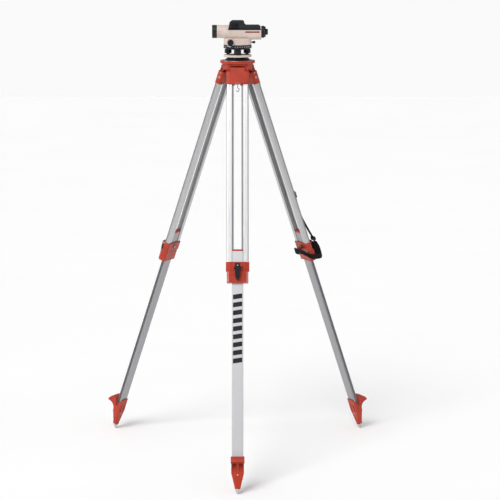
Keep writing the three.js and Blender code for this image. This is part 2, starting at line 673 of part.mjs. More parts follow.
const VIAL = { x: -30.5, y: -57, radius: 11, bottom: 44, top: 52.8 };

function vialCup() {
  const cup = turnedZ([
    [0, VIAL.bottom], [VIAL.radius - 1.5, VIAL.bottom], [VIAL.radius, VIAL.bottom + 1.5], [VIAL.radius, VIAL.top],
    [VIAL.radius - 2, VIAL.top], [VIAL.radius - 2, VIAL.top - 3], [0, VIAL.top - 3],
  ], VIAL.x, VIAL.y, 28);
  const bearing = THREE.MathUtils.radToDeg(Math.atan2(VIAL.y, VIAL.x));
  const reach = Math.hypot(VIAL.x, VIAL.y) - VIAL.radius + 1.5;
  const arm = join(box(45, reach, -7, 7, 55.6, 59.6), box(reach - 2.9, reach, -7, 7, 47, 56))
    .rotate([0, 0, bearing]);
  const drum = turnedZ(rod(DRUM.radius + GAP, 50, 90), 0, 0, 48);
  const boss = turnedY(rod(KNOB_AXIS.boss + GAP, -80, 0), KNOB_AXIS.x, KNOB_AXIS.z, 24);
  return join(cup, arm).subtract(drum).subtract(boss);
}

function vialGlass() {
  const r = VIAL.radius - 2.3;
  return turnedZ([
    [0, VIAL.top - 2.7], [r, VIAL.top - 2.7], [r, VIAL.top + 0.3], [r - 3, VIAL.top + 1.3], [0, VIAL.top + 1.7],
  ], VIAL.x, VIAL.y, 20);
}

function checkButton() {
  return turnedX([
    [0, 40], [2.2, 40], [2.2, 54.5], [4.5, 54.5], [4.5, 63], [3.5, 64.5], [0, 64.5],
  ], 0, BUTTON_HEIGHT, 16);
}

function addInstrument(head) {
  addPart(head, "spring_plate", springPlate(), "black");
  addPart(head, "base_plate", basePlate(), "tan");
  LEVEL_SCREWS.forEach((azimuth, i) => {
    const screw = addPart(head, `foot_screw_${i + 1}`, footScrew(), "black");
    const a = THREE.MathUtils.degToRad(azimuth);
    screw.position.set(FOOT_SCREW_CIRCLE * Math.cos(a), FOOT_SCREW_CIRCLE * Math.sin(a), 0);
  });
  addPart(head, "tribrach", tribrach(), "black");
  addPart(head, "horizontal_circle", horizontalCircle(), "black");
  addPart(head, "housing", housing(), "tan");
  addPart(head, "top_cover", topCover(), "black");
  addPart(head, "objective_ring", objectiveRing(), "black");
  addPart(head, "objective_lens", objectiveLens(), "glass");
  addPart(head, "eyepiece_mount", eyepieceMount(), "black");
  addPart(head, "eyepiece_ring", eyepieceRing(), "black");
  addPart(head, "eyepiece_lens", eyepieceLens(), "glass");
  addPart(head, "reticle_plate", reticlePlate(), "glass");
  addPart(head, "focus_knob", focusKnob(), "black");
  addPart(head, "focusing_cell", focusingCell(), "black");
  addPart(head, "tangent_shaft", tangentShaft(), "black");
  addPart(head, "compensator", compensator(), "brass");
  addPart(head, "vial_cup", vialCup(), "black");
  addPart(head, "vial_glass", vialGlass(), "glass");
  addPart(head, "check_button", checkButton(), "black");
}

// ---------------------------------------------------------------- assembly
const level = new THREE.Group();
const head = new THREE.Group();
head.position.z = HEAD_HEIGHT;
level.add(head);
addPart(head, "head_plate", headPlate(), "aluminium");
addPart(head, "head_casting", headCasting(), "orange");
addPart(head, "fixing_screw", fixingScrew(), "black");
addPart(head, "plumb_hook", plumbHook(), "steel");
const legs = {};
for (const side of Object.keys(LEG_AZIMUTHS)) legs[side] = addLeg(level, side);
addStrap(legs.right);
addInstrument(head);

// the origin is the middle of the object's box, on the ground
level.updateMatrixWorld(true);
const middle = new THREE.Box3().setFromObject(level, true).getCenter(new THREE.Vector3());
level.position.set(-middle.x, -middle.y, 0);
level.updateMatrixWorld(true);

export default level;
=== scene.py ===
import json
import math

import bmesh
import bpy
from mathutils import Matrix, Vector

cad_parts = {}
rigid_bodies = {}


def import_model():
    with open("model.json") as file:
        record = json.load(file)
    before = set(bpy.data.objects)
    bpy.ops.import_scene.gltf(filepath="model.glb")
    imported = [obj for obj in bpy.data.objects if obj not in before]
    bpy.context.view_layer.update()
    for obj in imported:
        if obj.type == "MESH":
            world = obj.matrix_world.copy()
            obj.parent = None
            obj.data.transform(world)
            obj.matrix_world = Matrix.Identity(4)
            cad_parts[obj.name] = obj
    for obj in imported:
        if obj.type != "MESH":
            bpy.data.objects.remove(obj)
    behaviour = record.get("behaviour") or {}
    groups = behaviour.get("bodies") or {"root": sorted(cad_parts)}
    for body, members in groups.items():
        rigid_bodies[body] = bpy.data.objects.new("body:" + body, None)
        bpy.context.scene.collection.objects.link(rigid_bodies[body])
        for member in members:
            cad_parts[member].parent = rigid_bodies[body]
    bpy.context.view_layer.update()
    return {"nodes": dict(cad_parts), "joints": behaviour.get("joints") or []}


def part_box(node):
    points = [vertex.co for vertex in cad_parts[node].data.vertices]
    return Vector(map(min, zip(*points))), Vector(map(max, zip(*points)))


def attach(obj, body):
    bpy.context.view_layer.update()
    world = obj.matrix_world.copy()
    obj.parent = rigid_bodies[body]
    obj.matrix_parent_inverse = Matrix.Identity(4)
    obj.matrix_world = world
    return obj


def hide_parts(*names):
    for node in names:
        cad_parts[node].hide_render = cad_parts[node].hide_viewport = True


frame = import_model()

MM = 0.001

# ---- where things are
JOINTS = {joint["name"]: joint for joint in frame["joints"]}
SIDES = ("front", "right", "left")
AXIS = Vector(JOINTS["alidade_turn"]["pos_m"])
HEAD_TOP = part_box("head_plate")[1].z
HEAD = Matrix.Translation((AXIS.x, AXIS.y, HEAD_TOP))  # heights on the instrument start at the head's top
HINGE_RADIUS = 44
HINGE_DROP = 33
LEG_TILT = math.radians(20)
LEG_LENGTH = 1530  # hinge to ground point
AZIMUTHS = {"front": math.radians(-90), "right": math.radians(30), "left": math.radians(150)}


def leg_place(side):
    """The leg's own frame: origin in the hinge, x out of the outer face, y across, z up along the leg."""
    up = -Vector(JOINTS["leg_extend_" + side]["axis"])
    across = -Vector(JOINTS["leg_spread_" + side]["axis"])
    out = across.cross(up)
    turn = Matrix((out, across, up)).transposed().to_4x4()
    return Matrix.Translation(JOINTS["leg_spread_" + side]["pos_m"]) @ turn


LEGS = {side: leg_place(side) for side in SIDES}
HINGE = Matrix.Translation((HINGE_RADIUS * MM, 0, -HINGE_DROP * MM))
HINGES = {side: HEAD @ Matrix.Rotation(AZIMUTHS[side], 4, "Z") @ HINGE for side in SIDES}

# sections across a leg, in its own frame: x out of the outer face, y across
RAIL_OUTER = 39.5
RAIL_INNER = 14.0
RAIL_EDGE = 20.6  # between the bar and its runner, which slides in the lower leg's groove
RAIL_HALF = 10.2
RUNNER_HALF = 4.0
TUBE_HALF = 8.5
TUBE_SIDE = 20.0
GROOVE_HALF = 4.3
GROOVE_FLOOR = 13.7
YOKE_HALF = 13.5
YOKE_SIDE = 41.5
TONGUE_SIDE = 26.0
LUG_INNER = 26.5
LUG_OUTER = 38.0
BAND_OUTER = 13.5
BODY_OUTER = 20.0
PIVOT = (26.0, -724.0)  # the clamp lever's pin, x and z
CLAMP_SCREW = (0, -725)  # y and z on the inner face
POINT_X = -11  # the steel ground point's axis


# ---- camera and light
def add_node(tree, kind, inputs=None, **settings):
    """A shader node. An input that is given a socket is linked to it, any other is set to the value."""
    made = tree.nodes.new("ShaderNode" + kind)
    for key, value in settings.items():
        setattr(made, key, value)
    for key, value in (inputs or {}).items():
        if isinstance(value, bpy.types.NodeSocket):
            tree.links.new(value, made.inputs[key])
        else:
            made.inputs[key].default_value = value
    return made


CAMERA_DISTANCE = 6.595  # level, from the tripod's axis
CAMERA_HEIGHT = 1.979
CAMERA_PITCH = 10.41  # degrees downwards


def add_camera():
    data = bpy.data.cameras.new("camera")
    data.lens = 129.4
    data.shift_x = 0.0248
    camera = bpy.data.objects.new("camera", data)
    bpy.context.scene.collection.objects.link(camera)
    camera.location = (0, AXIS.y - CAMERA_DISTANCE, CAMERA_HEIGHT)
    camera.rotation_euler = (math.radians(90 - CAMERA_PITCH), 0, 0)
    bpy.context.scene.camera = camera


def add_sun(name, azimuth, elevation, softness, strength, tint):
    """A soft distant light that comes from an azimuth (0 is +X, -90 the camera's side) and an elevation."""
    data = bpy.data.lights.new(name, "SUN")
    data.angle = math.radians(softness)
    data.energy = strength
    data.color = tint
    light = bpy.data.objects.new(name, data)
    bpy.context.scene.collection.objects.link(light)
    turn = math.radians(azimuth)
    rise = math.radians(elevation)
    source = Vector((math.cos(rise) * math.cos(turn), math.cos(rise) * math.sin(turn), math.sin(rise)))
    light.rotation_euler = (-source).to_track_quat("-Z", "Y").to_euler()


def add_studio():
    """Two soft lights from the front, two low ones that edge the corners, a dim room and a pale backdrop."""
    add_sun("key_light", -122, 48, 30, 2.1, (1.0, 0.99, 0.97))
    add_sun("fill_light", -30, 35, 60, 0.15, (0.95, 0.97, 1.0))
    add_sun("left_lamp", 180, 6, 14, 0.55, (1.0, 1.0, 1.0))
    add_sun("right_lamp", 0, 6, 14, 0.55, (1.0, 1.0, 1.0))
    world = bpy.data.worlds.new("studio")
    bpy.context.scene.world = world
    world.use_nodes = True
    tree = world.node_tree
    tree.nodes.clear()
    # the room is brightest up to the left, and only the camera's own rays see the backdrop
    ray = add_node(tree, "TexCoord").outputs["Generated"]
    side = add_node(tree, "VectorMath", {0: ray, 1: (-0.42, -0.30, 0.86)}, operation="DOT_PRODUCT")
    level = add_node(tree, "MapRange", {
        "Value": side.outputs["Value"], "From Min": -0.5, "From Max": 1.0, "To Min": 0.04, "To Max": 0.72,
    })
    room = add_node(tree, "Background", {"Color": (0.98, 0.985, 1.0, 1), "Strength": level.outputs[0]})
    backdrop = add_node(tree, "Background", {"Color": (0.955, 0.955, 0.955, 1)})
    seen = add_node(tree, "LightPath").outputs["Is Camera Ray"]
    choice = add_node(tree, "MixShader", {0: seen, 1: room.outputs[0], 2: backdrop.outputs[0]})
    add_node(tree, "OutputWorld", {0: choice.outputs[0]})
    bpy.context.scene.view_settings.view_transform = "Standard"


# ---- outlines, in millimetres
def arc(x, y, radius, start, end, steps):
    """Points of an arc; the angles are in degrees."""
    points = []
    for step in range(steps + 1):
        angle = math.radians(start + (end - start) * step / steps)
        points.append((x + radius * math.cos(angle), y + radius * math.sin(angle)))
    return points


def rounded(points, radius, steps=4, closed=True):
    """The outline with each corner turned into an arc. A point may carry its own radius as a third number."""
    result = []
    count = len(points)
    for index, point in enumerate(points):
        here = Vector(point[:2])
        own = point[2] if len(point) > 2 else radius
        if own <= 0 or (not closed and index in (0, count - 1)):
            result.append(tuple(here))
            continue
        back = Vector(points[index - 1][:2]) - here
        ahead = Vector(points[(index + 1) % count][:2]) - here
        opening = back.angle(ahead)
        if opening > math.pi - 0.02:
            result.append(tuple(here))
            continue
        reach = min(own / math.tan(opening / 2), 0.48 * back.length, 0.48 * ahead.length)
        used = reach * math.tan(opening / 2)
        centre = here + (back.normalized() + ahead.normalized()).normalized() * (used / math.sin(opening / 2))
        start = here + back.normalized() * reach - centre
        end = here + ahead.normalized() * reach - centre
        first = math.atan2(start.y, start.x)
        turn = (math.atan2(end.y, end.x) - first + math.pi) % (2 * math.pi) - math.pi
        for step in range(steps + 1):
            angle = first + turn * step / steps
            result.append((centre.x + used * math.cos(angle), centre.y + used * math.sin(angle)))
    return result


def rectangle(x0, x1, y0, y1, radius=0.0, steps=6):
    corners = [(x0, y0), (x1, y0), (x1, y1), (x0, y1)]
    return rounded(corners, radius, steps) if radius else corners


def mirrored(half, *middle):
    """An outline of equal left and right halves, with any points that lie on the middle line."""
    return [*half, *middle] + [(-x, y, radius) for x, y, radius in reversed(half)]


def flipped(half):
    """An outline of equal lower and upper halves, from the points of the lower one."""
    return half + [(x, -y, radius) for x, y, radius in reversed(half)]


def lobes(radius, count, dip, steps=8):
    """A round outline with finger lobes."""
    points = []
    for step in range(count * steps):
        angle = 2 * math.pi * step / (count * steps)
        r = radius - dip * (1 - math.cos(angle * count)) / 2
        points.append((r * math.cos(angle), r * math.sin(angle)))
    return points


def spline(points, steps):
    """A smooth curve through points in a plane, with its direction at each step."""
    padded = [2 * Vector(points[0]) - Vector(points[1])] + [Vector(p) for p in points]
    padded.append(2 * Vector(points[-1]) - Vector(points[-2]))
    found = []
    spans = len(points) - 1
    for step in range(steps + 1):
        at = min(spans * step / steps, spans - 1e-6)
        a, b, c, d = padded[int(at):int(at) + 4]
        t = at - int(at)
        square = 2 * a - 5 * b + 4 * c - d
        cube = 3 * b - a - 3 * c + d
        place = 0.5 * (2 * b + (c - a) * t + square * t**2 + cube * t**3)
        slope = 0.5 * ((c - a) + 2 * square * t + 3 * cube * t**2)
        found.append((place, slope.normalized()))
    return found


# ---- solids, in millimetres
TURNS = {
    "x": lambda u, v, w: (w, u, v),  # an outline in y and z, swept along x
    "y": lambda u, v, w: (u, w, v),  # an outline in x and z, swept along y
    "z": lambda u, v, w: (u, v, w),
}


def skin(bm, rings, closed=False):
    """Faces between rings of equally many vertices, and one over each end unless the rings close up."""
    pairs = list(zip(rings, rings[1:]))
    if closed:
        pairs.append((rings[-1], rings[0]))
    for lower, upper in pairs:
        for i in range(len(lower)):
            j = (i + 1) % len(lower)
            bm.faces.new((lower[i], lower[j], upper[j], upper[i]))
    if not closed:
        bm.faces.new(rings[0])
        bm.faces.new(rings[-1])


def to_mesh(bm, bevel=0.0, segments=2, angle=30):
    """The finished mesh, with edges sharper than angle degrees bevelled."""
    bmesh.ops.remove_doubles(bm, verts=bm.verts, dist=1e-4)
    bmesh.ops.recalc_face_normals(bm, faces=bm.faces)
    if bevel:
        sharp = [e for e in bm.edges if len(e.link_faces) == 2 and e.calc_face_angle() > math.radians(angle)]
        bmesh.ops.bevel(
            bm, geom=sharp, offset=bevel, segments=segments, profile=0.5, affect="EDGES", clamp_overlap=True,
        )
        bmesh.ops.remove_doubles(bm, verts=bm.verts, dist=1e-4)
    mesh = bpy.data.meshes.new("solid")
    bm.to_mesh(mesh)
    bm.free()
    return mesh


def prism(outline, low, high, axis="z", bevel=0.0, segments=2):
    """An outline swept straight along an axis."""
    turn = TURNS[axis]
    bm = bmesh.new()
    skin(bm, [[bm.verts.new(turn(u, v, w)) for u, v in outline] for w in (low, high)])
    return to_mesh(bm, bevel, segments)


def hexagon(radius, low, high, axis, centre=(0, 0)):
    return prism(arc(*centre, radius, 0, 300, 5), low, high, axis)


def block(x0, x1, y0, y1, z0, z1, bevel=0.0, segments=2):
    return prism(rectangle(x0, x1, y0, y1), z0, z1, "z", bevel, segments)


def lathe(profile, axis="z", centre=(0, 0), segments=96, soft=0.5, steps=3):
    """A turned solid from points of radius and height; its corners are rounded by soft."""
    ring_shaped = profile[0][0] > 0
    points = rounded(profile, soft, steps, closed=ring_shaped) if soft else [p[:2] for p in profile]
    turn = TURNS[axis]
    bm = bmesh.new()
    rings = []
    for radius, height in points:
        if radius < 1e-6:
            rings.append([bm.verts.new(turn(centre[0], centre[1], height))])
            continue
        ring = []
        for k in range(segments):
            angle = 2 * math.pi * k / segments
            u = centre[0] + radius * math.cos(angle)
            v = centre[1] + radius * math.sin(angle)
            ring.append(bm.verts.new(turn(u, v, height)))
        rings.append(ring)
    pairs = list(zip(rings, rings[1:]))
    if ring_shaped:
        pairs.append((rings[-1], rings[0]))
    for lower, upper in pairs:
        for k in range(segments):
            m = (k + 1) % segments
            corners = [ring[i % len(ring)] for ring, i in ((lower, k), (lower, m), (upper, m), (upper, k))]
            unique = list(dict.fromkeys(corners))
            if len(unique) > 2:
                bm.faces.new(unique)
    return to_mesh(bm)


def rod(radius, low, high, axis="z", centre=(0, 0), segments=48, soft=0):
    return lathe([(0, low), (radius, low), (radius, high), (0, high)], axis, centre, segments, soft)


def washer(inner, outer, low, high, axis="z", centre=(0, 0), segments=48, soft=0):
    return lathe([(inner, low), (outer, low), (outer, high), (inner, high)], axis, centre, segments, soft)


def loft(sections, steps=6):
    """A solid through rounded rectangles (z, x0, x1, half width, corner radius) stacked along z."""
    bm = bmesh.new()
    rings = []
    for z, x0, x1, half, corner in sections:
        outline = rectangle(x0, x1, -half, half, corner, steps)
        rings.append([bm.verts.new((x, y, z)) for x, y in outline])
    skin(bm, rings)
    return to_mesh(bm)


def tube_along(points, radius, sides=12):
    """A round wire that follows points in space."""
    bm = bmesh.new()
    rings = []
    side = Vector((0, 1, 0))
    for i, point in enumerate(points):
        along = (points[min(i + 1, len(points) - 1)] - points[max(i - 1, 0)]).normalized()
        normal = along.cross(side).normalized()
        ring = []
        for k in range(sides):
            angle = 2 * math.pi * k / sides
            ring.append(bm.verts.new(point + radius * (math.cos(angle) * normal + math.sin(angle) * side)))
        rings.append(ring)
    skin(bm, rings)
    return to_mesh(bm)


def moved(mesh, matrix):
    copy = mesh.copy()
    copy.transform(matrix)
    return copy


def shifted(mesh, x=0, y=0, z=0):
    return moved(mesh, Matrix.Translation((x, y, z)))


def spun(mesh, degrees, axis="Z"):
    return moved(mesh, Matrix.Rotation(math.radians(degrees), 4, axis))


def combined(operation, base, *others):
    """The base mesh after a boolean operation with each of the others."""
    scene = bpy.context.scene.collection.objects
    holder = bpy.data.objects.new("holder", base)
    scene.link(holder)
    tools = []
    for other in others:
        tool = bpy.data.objects.new("tool", other)
        scene.link(tool)
        tools.append(tool)
        step = holder.modifiers.new("step", "BOOLEAN")
        step.operation = operation
        step.solver = "EXACT"
        step.object = tool
    bpy.context.view_layer.update()
    result = bpy.data.meshes.new_from_object(holder.evaluated_get(bpy.context.evaluated_depsgraph_get()))
    for used in [holder, *tools]:
        bpy.data.objects.remove(used)
    return result


def union(base, *others):
    return combined("UNION", base, *others)


def cut(base, *others):
    return combined("DIFFERENCE", base, *others)


def common(base, *others):
    return combined("INTERSECT", base, *others)


def softened(mesh, bevel, segments=2, angle=30):
    """The mesh with its sharp edges bevelled."""
    bm = bmesh.new()
    bm.from_mesh(mesh)
    bmesh.ops.remove_doubles(bm, verts=bm.verts, dist=0.01)
    bmesh.ops.dissolve_degenerate(bm, edges=bm.edges, dist=0.01)
    return to_mesh(bm, bevel, segments, angle)


def gathered(*meshes):
    """Several separate solids in one mesh."""
    bm = bmesh.new()
    for mesh in meshes:
        bm.from_mesh(mesh)
    result = bpy.data.meshes.new("solids")
    bm.to_mesh(result)
    bm.free()
    return result


def piece(name, mesh, place, material, body, slot, *nodes, smooth=32):
    """Puts a solid in millimetres into the scene as a piece that rides on a body."""
    mesh.transform(Matrix.Scale(MM, 4))
    mesh.shade_smooth()
    mesh.set_sharp_from_angle(angle=math.radians(smooth))
    mesh.materials.clear()
    mesh.materials.append(material)
    mesh.name = name
    made = bpy.data.objects.new(name, mesh)
    bpy.context.scene.collection.objects.link(made)
    made.matrix_world = place
    normals = made.modifiers.new("normals", "WEIGHTED_NORMAL")
    normals.keep_sharp = True
    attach(made, body)
    if nodes:
        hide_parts(*nodes)
    return made


# ---- materials
class Surface:
    """A node material on a Principled shader, with short ways to add its textures."""

    def __init__(self, name, roughness=0.5, metallic=0.0, **shader):
        self.material = bpy.data.materials.new(name)
        self.material.use_nodes = True
        self.tree = self.material.node_tree
        self.shader = self.tree.nodes["Principled BSDF"]
        self.shader.inputs["Roughness"].default_value = roughness
        self.shader.inputs["Metallic"].default_value = metallic
        for socket, value in shader.items():
            self.shader.inputs[socket.replace("_", " ")].default_value = value
        self.place = self.node("TexCoord").outputs["Object"]
        self.normal = None

    def node(self, kind, inputs=None, **settings):
        return add_node(self.tree, kind, inputs, **settings)

    def link(self, source, socket):
        self.tree.links.new(source, self.shader.inputs[socket])

    def scaled(self, x, y, z):
        """Object coordinates multiplied by a number for each axis."""
        return self.node("VectorMath", {0: self.place, 1: (x, y, z)}, operation="MULTIPLY").outputs[0]

    def noise(self, size, detail=3.0, place=None, roughness=0.5):
        """Noise whose blotches are about size millimetres across."""
        grain = {"Scale": 1000 / size, "Detail": detail, "Roughness": roughness}
        return self.node("TexNoise", {"Vector": place or self.place, **grain}).outputs[0]

    def ranged(self, value, low, high, to_low=0.0, to_high=1.0):
        span = {"From Min": low, "From Max": high, "To Min": to_low, "To Max": to_high}
        return self.node("MapRange", {"Value": value, **span}).outputs[0]

    def mixed(self, factor, first, second):
        return self.node("Mix", {0: factor, 6: first, 7: second}, data_type="RGBA").outputs[2]

    def compared(self, axis, reach, operation):
        """1 where x, or for Y the distance from the middle, is less or greater than reach millimetres."""
        value = self.node("SeparateXYZ", {"Vector": self.place}).outputs[axis]
        if axis == "Y":
            value = self.node("Math", {0: value}, operation="ABSOLUTE").outputs[0]
        return self.node("Math", {0: value, 1: reach * MM}, operation=operation).outputs[0]

    def times(self, first, second):
        return self.node("Math", {0: first, 1: second}, operation="MULTIPLY").outputs[0]

    def wave(self, place, scale, distortion, detail=2.0, **settings):
        """Stripes or rings across place."""
        shape = {"Vector": place, "Scale": scale, "Distortion": distortion, "Detail": detail}
        return self.node("TexWave", shape, **settings).outputs["Fac"]

    def bump(self, height, distance, strength=1.0):
        inputs = {"Height": height, "Distance": distance * MM, "Strength": strength}
        if self.normal:
            inputs["Normal"] = self.normal
        self.normal = self.node("Bump", inputs).outputs[0]
        self.link(self.normal, "Normal")

    def edges(self, radius, patch):
        """1 on convex and concave edges about radius millimetres wide, broken up by patches of noise."""
        bevel = self.node("Bevel", {"Radius": radius * MM}, samples=4).outputs[0]
        normal = self.node("NewGeometry").outputs["Normal"]
        aligned = self.node("VectorMath", {0: bevel, 1: normal}, operation="DOT_PRODUCT")
        edge = self.ranged(aligned.outputs["Value"], 0.995, 0.90)
        return self.times(edge, self.ranged(self.noise(patch, 4.0), 0.48, 0.62))

    def coloured(self, light, dark, patch, wear=None, wear_radius=0.5, wear_patch=6.0, wear_most=0.7):
        """Two close tones in patches, and a third tone where the edges are worn."""
        tone = self.mixed(self.ranged(self.noise(patch, 4.0), 0.35, 0.65), light, dark)
        if wear:
            mask = self.times(self.edges(wear_radius, wear_patch), wear_most)
            tone = self.mixed(mask, tone, wear)
        self.link(tone, "Base Color")
        return tone

    def rough(self, size, low, high):
        self.link(self.ranged(self.noise(size, 5.0), 0.3, 0.7, low, high), "Roughness")


def paint(name, light, dark, wear, rough=(0.34, 0.5), grain=0.9, height=0.10, coat=0.15, shine=0.5):
    """Powder coat: fine orange peel, slightly uneven tone, edges rubbed lighter."""
    made = Surface(name, Coat_Weight=coat, Coat_Roughness=0.25, Specular_IOR_Level=shine)
    made.coloured(light, dark, 45, wear, wear_radius=0.8, wear_patch=9, wear_most=0.55)
    made.rough(7, *rough)
    made.bump(made.noise(grain * 3, 2.0), height)
    made.bump(made.noise(grain, 3.0), height * 0.35)
    return made.material


def plastic(name, light, dark, wear, rough=(0.3, 0.45), grain=0.5, height=0.05, shine=0.5):
    """Moulded plastic: a fine grain, a faintly uneven tone, edges rubbed lighter."""
    made = Surface(name, Specular_IOR_Level=shine)
    made.coloured(light, dark, 25, wear, wear_radius=0.5, wear_patch=5, wear_most=0.35)
    made.rough(5, *rough)
    made.bump(made.noise(grain, 2.0, roughness=0.7), height)
    return made.material


def drawn_aluminium(name, light, dark, rough, inner_edge, outer_face, outer_edge):
    """Extruded leg bar: long fine streaks along z and small dark rubs, with painted shade: its sides, short
    of x = outer_face, and its corners past y = outer_edge are darkened, and the runners inside inner_edge
    greyed as a shaded slot."""
    made = Surface(name, metallic=1.0)
    streaks = made.noise(1.1, 4.0, place=made.scaled(1, 1, 0.012), roughness=0.65)
    tone = made.mixed(made.ranged(streaks, 0.3, 0.7), light, dark)
    rubs = made.ranged(made.noise(34, 6.0, roughness=0.7), 0.60, 0.76, 0.0, 0.22)
    tone = made.mixed(rubs, tone, (0.42, 0.42, 0.43, 1))
    # painted shade: the sides, the outer corners and the runners in the slot between the bars are darkened as
    # if in shadow
    side = made.compared("X", outer_face, "LESS_THAN")
    past_edge = made.compared("Y", outer_edge, "GREATER_THAN")
    outer_part = made.compared("X", 3.5, "GREATER_THAN")
    corner = made.times(past_edge, outer_part)
    runner = made.compared("Y", inner_edge, "LESS_THAN")
    tone = made.mixed(made.times(side, 0.34), tone, (0.02, 0.02, 0.02, 1))
    tone = made.mixed(made.times(corner, 0.6), tone, (0.05, 0.05, 0.055, 1))
    tone = made.mixed(runner, tone, (0.28, 0.28, 0.29, 1))
    made.link(made.mixed(made.edges(0.4, 12), tone, (0.88, 0.88, 0.89, 1)), "Base Color")
    made.link(made.ranged(streaks, 0.25, 0.75, *rough), "Roughness")
    made.bump(streaks, 0.03)
    return made.material


def machined_aluminium():
    """A faced disc: tool rings round z, and scratches where the instrument has been slid about."""
    made = Surface("machined_aluminium", metallic=1.0)
    rings = made.wave(made.place, 190.0, 0.25, wave_type="RINGS", rings_direction="Z")
    scratches = made.noise(2.2, 5.0, place=made.scaled(0.25, 1, 1), roughness=0.75)
    worn = made.ranged(scratches, 0.35, 0.65)
    made.link(made.mixed(worn, (0.66, 0.66, 0.67, 1), (0.50, 0.50, 0.51, 1)), "Base Color")
    made.link(made.ranged(scratches, 0.3, 0.7, 0.26, 0.45), "Roughness")
    made.bump(rings, 0.02)
    made.bump(scratches, 0.03)
    return made.material


def turned_steel(name, light, dark):
    """Plain steel, faintly uneven, with brighter edges."""
    made = Surface(name, metallic=1.0)
    made.coloured(light, dark, 6, [min(1, 1.3 * tone) for tone in light], wear_radius=0.3)
    made.rough(2.5, 0.2, 0.38)
    made.bump(made.noise(0.7, 3.0), 0.02)
    return made.material


def plated_brass():
    """Brass with a patchy tarnish."""
    made = Surface("brass", metallic=1.0)
    made.coloured((0.55, 0.40, 0.16, 1), (0.42, 0.29, 0.10, 1), 8)
    made.rough(3, 0.24, 0.4)
    return made.material


def webbing():
    """Woven strap: ribs across and along, from the weave attribute in millimetres, and a little dust."""
    made = Surface("webbing", roughness=0.85, Specular_IOR_Level=0.15, Sheen_Weight=0.03, Sheen_Roughness=0.5)
    weave = made.node("Attribute", attribute_name="weave").outputs["Vector"]
    ribs = made.wave(weave, 0.16, 0.4, bands_direction="Y")
    warp = made.wave(weave, 0.30, 0.3, bands_direction="X")
    cloth = made.times(ribs, warp)
    dust = made.ranged(made.noise(30, 5.0), 0.4, 0.7, 0.0, 0.5)
    tone = made.mixed(cloth, (0.002, 0.002, 0.003, 1), (0.010, 0.010, 0.012, 1))
    made.link(made.mixed(dust, tone, (0.013, 0.013, 0.014, 1)), "Base Color")
    made.bump(cloth, 0.5)
    made.bump(made.noise(0.5, 2.0), 0.08)
    return made.material


def optical_glass(name, tint, coating):
    """A coated lens: tinted, clear, with a faint coloured reflection and a light smear."""
    made = Surface(name, 0.03, Transmission_Weight=0.75, IOR=1.52, Coat_Weight=0.6, Coat_Tint=coating)
    smear = made.noise(9, 4.0)
    darker = [0.8 * part for part in tint[:3]] + [1]
    made.link(made.mixed(made.ranged(smear, 0.35, 0.65), tint, darker), "Base Color")
    made.link(made.ranged(smear, 0.4, 0.7, 0.02, 0.08), "Roughness")
    return made.material


def bubble_liquid():
    """The pale blue liquid of the round bubble."""
    made = Surface("vial_liquid", roughness=0.05, Transmission_Weight=0.25, IOR=1.4, Coat_Weight=1.0)
    made.coloured((0.62, 0.74, 0.82, 1), (0.50, 0.66, 0.76, 1), 5)
    return made.material


ORANGE = (0.42, 0.036, 0.013, 1)
ORANGE_DARK = (0.34, 0.027, 0.010, 1)
ORANGE_WORN = (0.60, 0.15, 0.09, 1)

orange_paint = paint("orange_paint", ORANGE, ORANGE_DARK, ORANGE_WORN, coat=0.05, shine=0.3)
orange_plastic = plastic("orange_plastic", ORANGE, ORANGE_DARK, ORANGE_WORN, rough=(0.35, 0.5), shine=0.3)
orange_gloss = plastic(
    "orange_gloss", ORANGE, ORANGE_DARK, ORANGE_WORN, rough=(0.18, 0.30), grain=1.6, height=0.03, shine=0.4,
)
tan_paint = paint(
    "tan_paint", (0.64, 0.535, 0.475, 1), (0.58, 0.475, 0.415, 1), (0.74, 0.67, 0.62, 1),
    rough=(0.36, 0.5), grain=0.8, height=0.08, coat=0.2,
)
black_plastic = plastic(
    "black_plastic", (0.006, 0.007, 0.010, 1), (0.010, 0.011, 0.014, 1), (0.06, 0.06, 0.07, 1), shine=0.3,
)
gloss_plastic = plastic(
    "gloss_plastic", (0.006, 0.013, 0.030, 1), (0.009, 0.017, 0.036, 1), (0.07, 0.08, 0.1, 1),
    rough=(0.10, 0.2), grain=2.0, height=0.01,
)
black_paint = paint(
    "black_paint", (0.007, 0.008, 0.010, 1), (0.011, 0.012, 0.014, 1), (0.09, 0.09, 0.095, 1),
    rough=(0.28, 0.42), grain=0.7, height=0.05, coat=0.04, shine=0.3,
)
white_paint = paint(
    "white_paint", (0.78, 0.78, 0.76, 1), (0.66, 0.66, 0.64, 1), (0.5, 0.5, 0.5, 1), grain=0.3, height=0.01,
)
red_paint = paint(
    "red_paint", (0.20, 0.012, 0.014, 1), (0.15, 0.01, 0.012, 1), (0.3, 0.1, 0.08, 1), grain=0.3, height=0.01,
)
# inner_edge, outer_face and outer_edge set where painted shade darkens the bars' runners, sides and outer
# corners
bright_aluminium = drawn_aluminium(
    "bright_aluminium", (0.84, 0.84, 0.85, 1), (0.72, 0.72, 0.735, 1), rough=(0.26, 0.42),
    inner_edge=RAIL_EDGE - 0.3, outer_face=RAIL_HALF - 1, outer_edge=RAIL_OUTER - 2.7,
)
# the lower leg gets painted shade on its sides and corners; inner_edge=0 gives it no shaded runner
dull_aluminium = drawn_aluminium(
    "dull_aluminium", (0.60, 0.595, 0.615, 1), (0.52, 0.515, 0.535, 1), rough=(0.36, 0.52),
    inner_edge=0, outer_face=TUBE_HALF - 0.9, outer_edge=TUBE_SIDE - 0.8,
)
faced_aluminium = machined_aluminium()
steel = turned_steel("turned_steel", (0.62, 0.62, 0.64, 1), (0.44, 0.44, 0.46, 1))
dark_steel = turned_steel("dark_steel", (0.16, 0.13, 0.12, 1), (0.10, 0.08, 0.08, 1))
brass = plated_brass()
strap_webbing = webbing()
lens_glass = optical_glass("lens_glass", (0.62, 0.72, 0.80, 1), (0.5, 0.75, 0.85, 1))
vial_liquid = bubble_liquid()


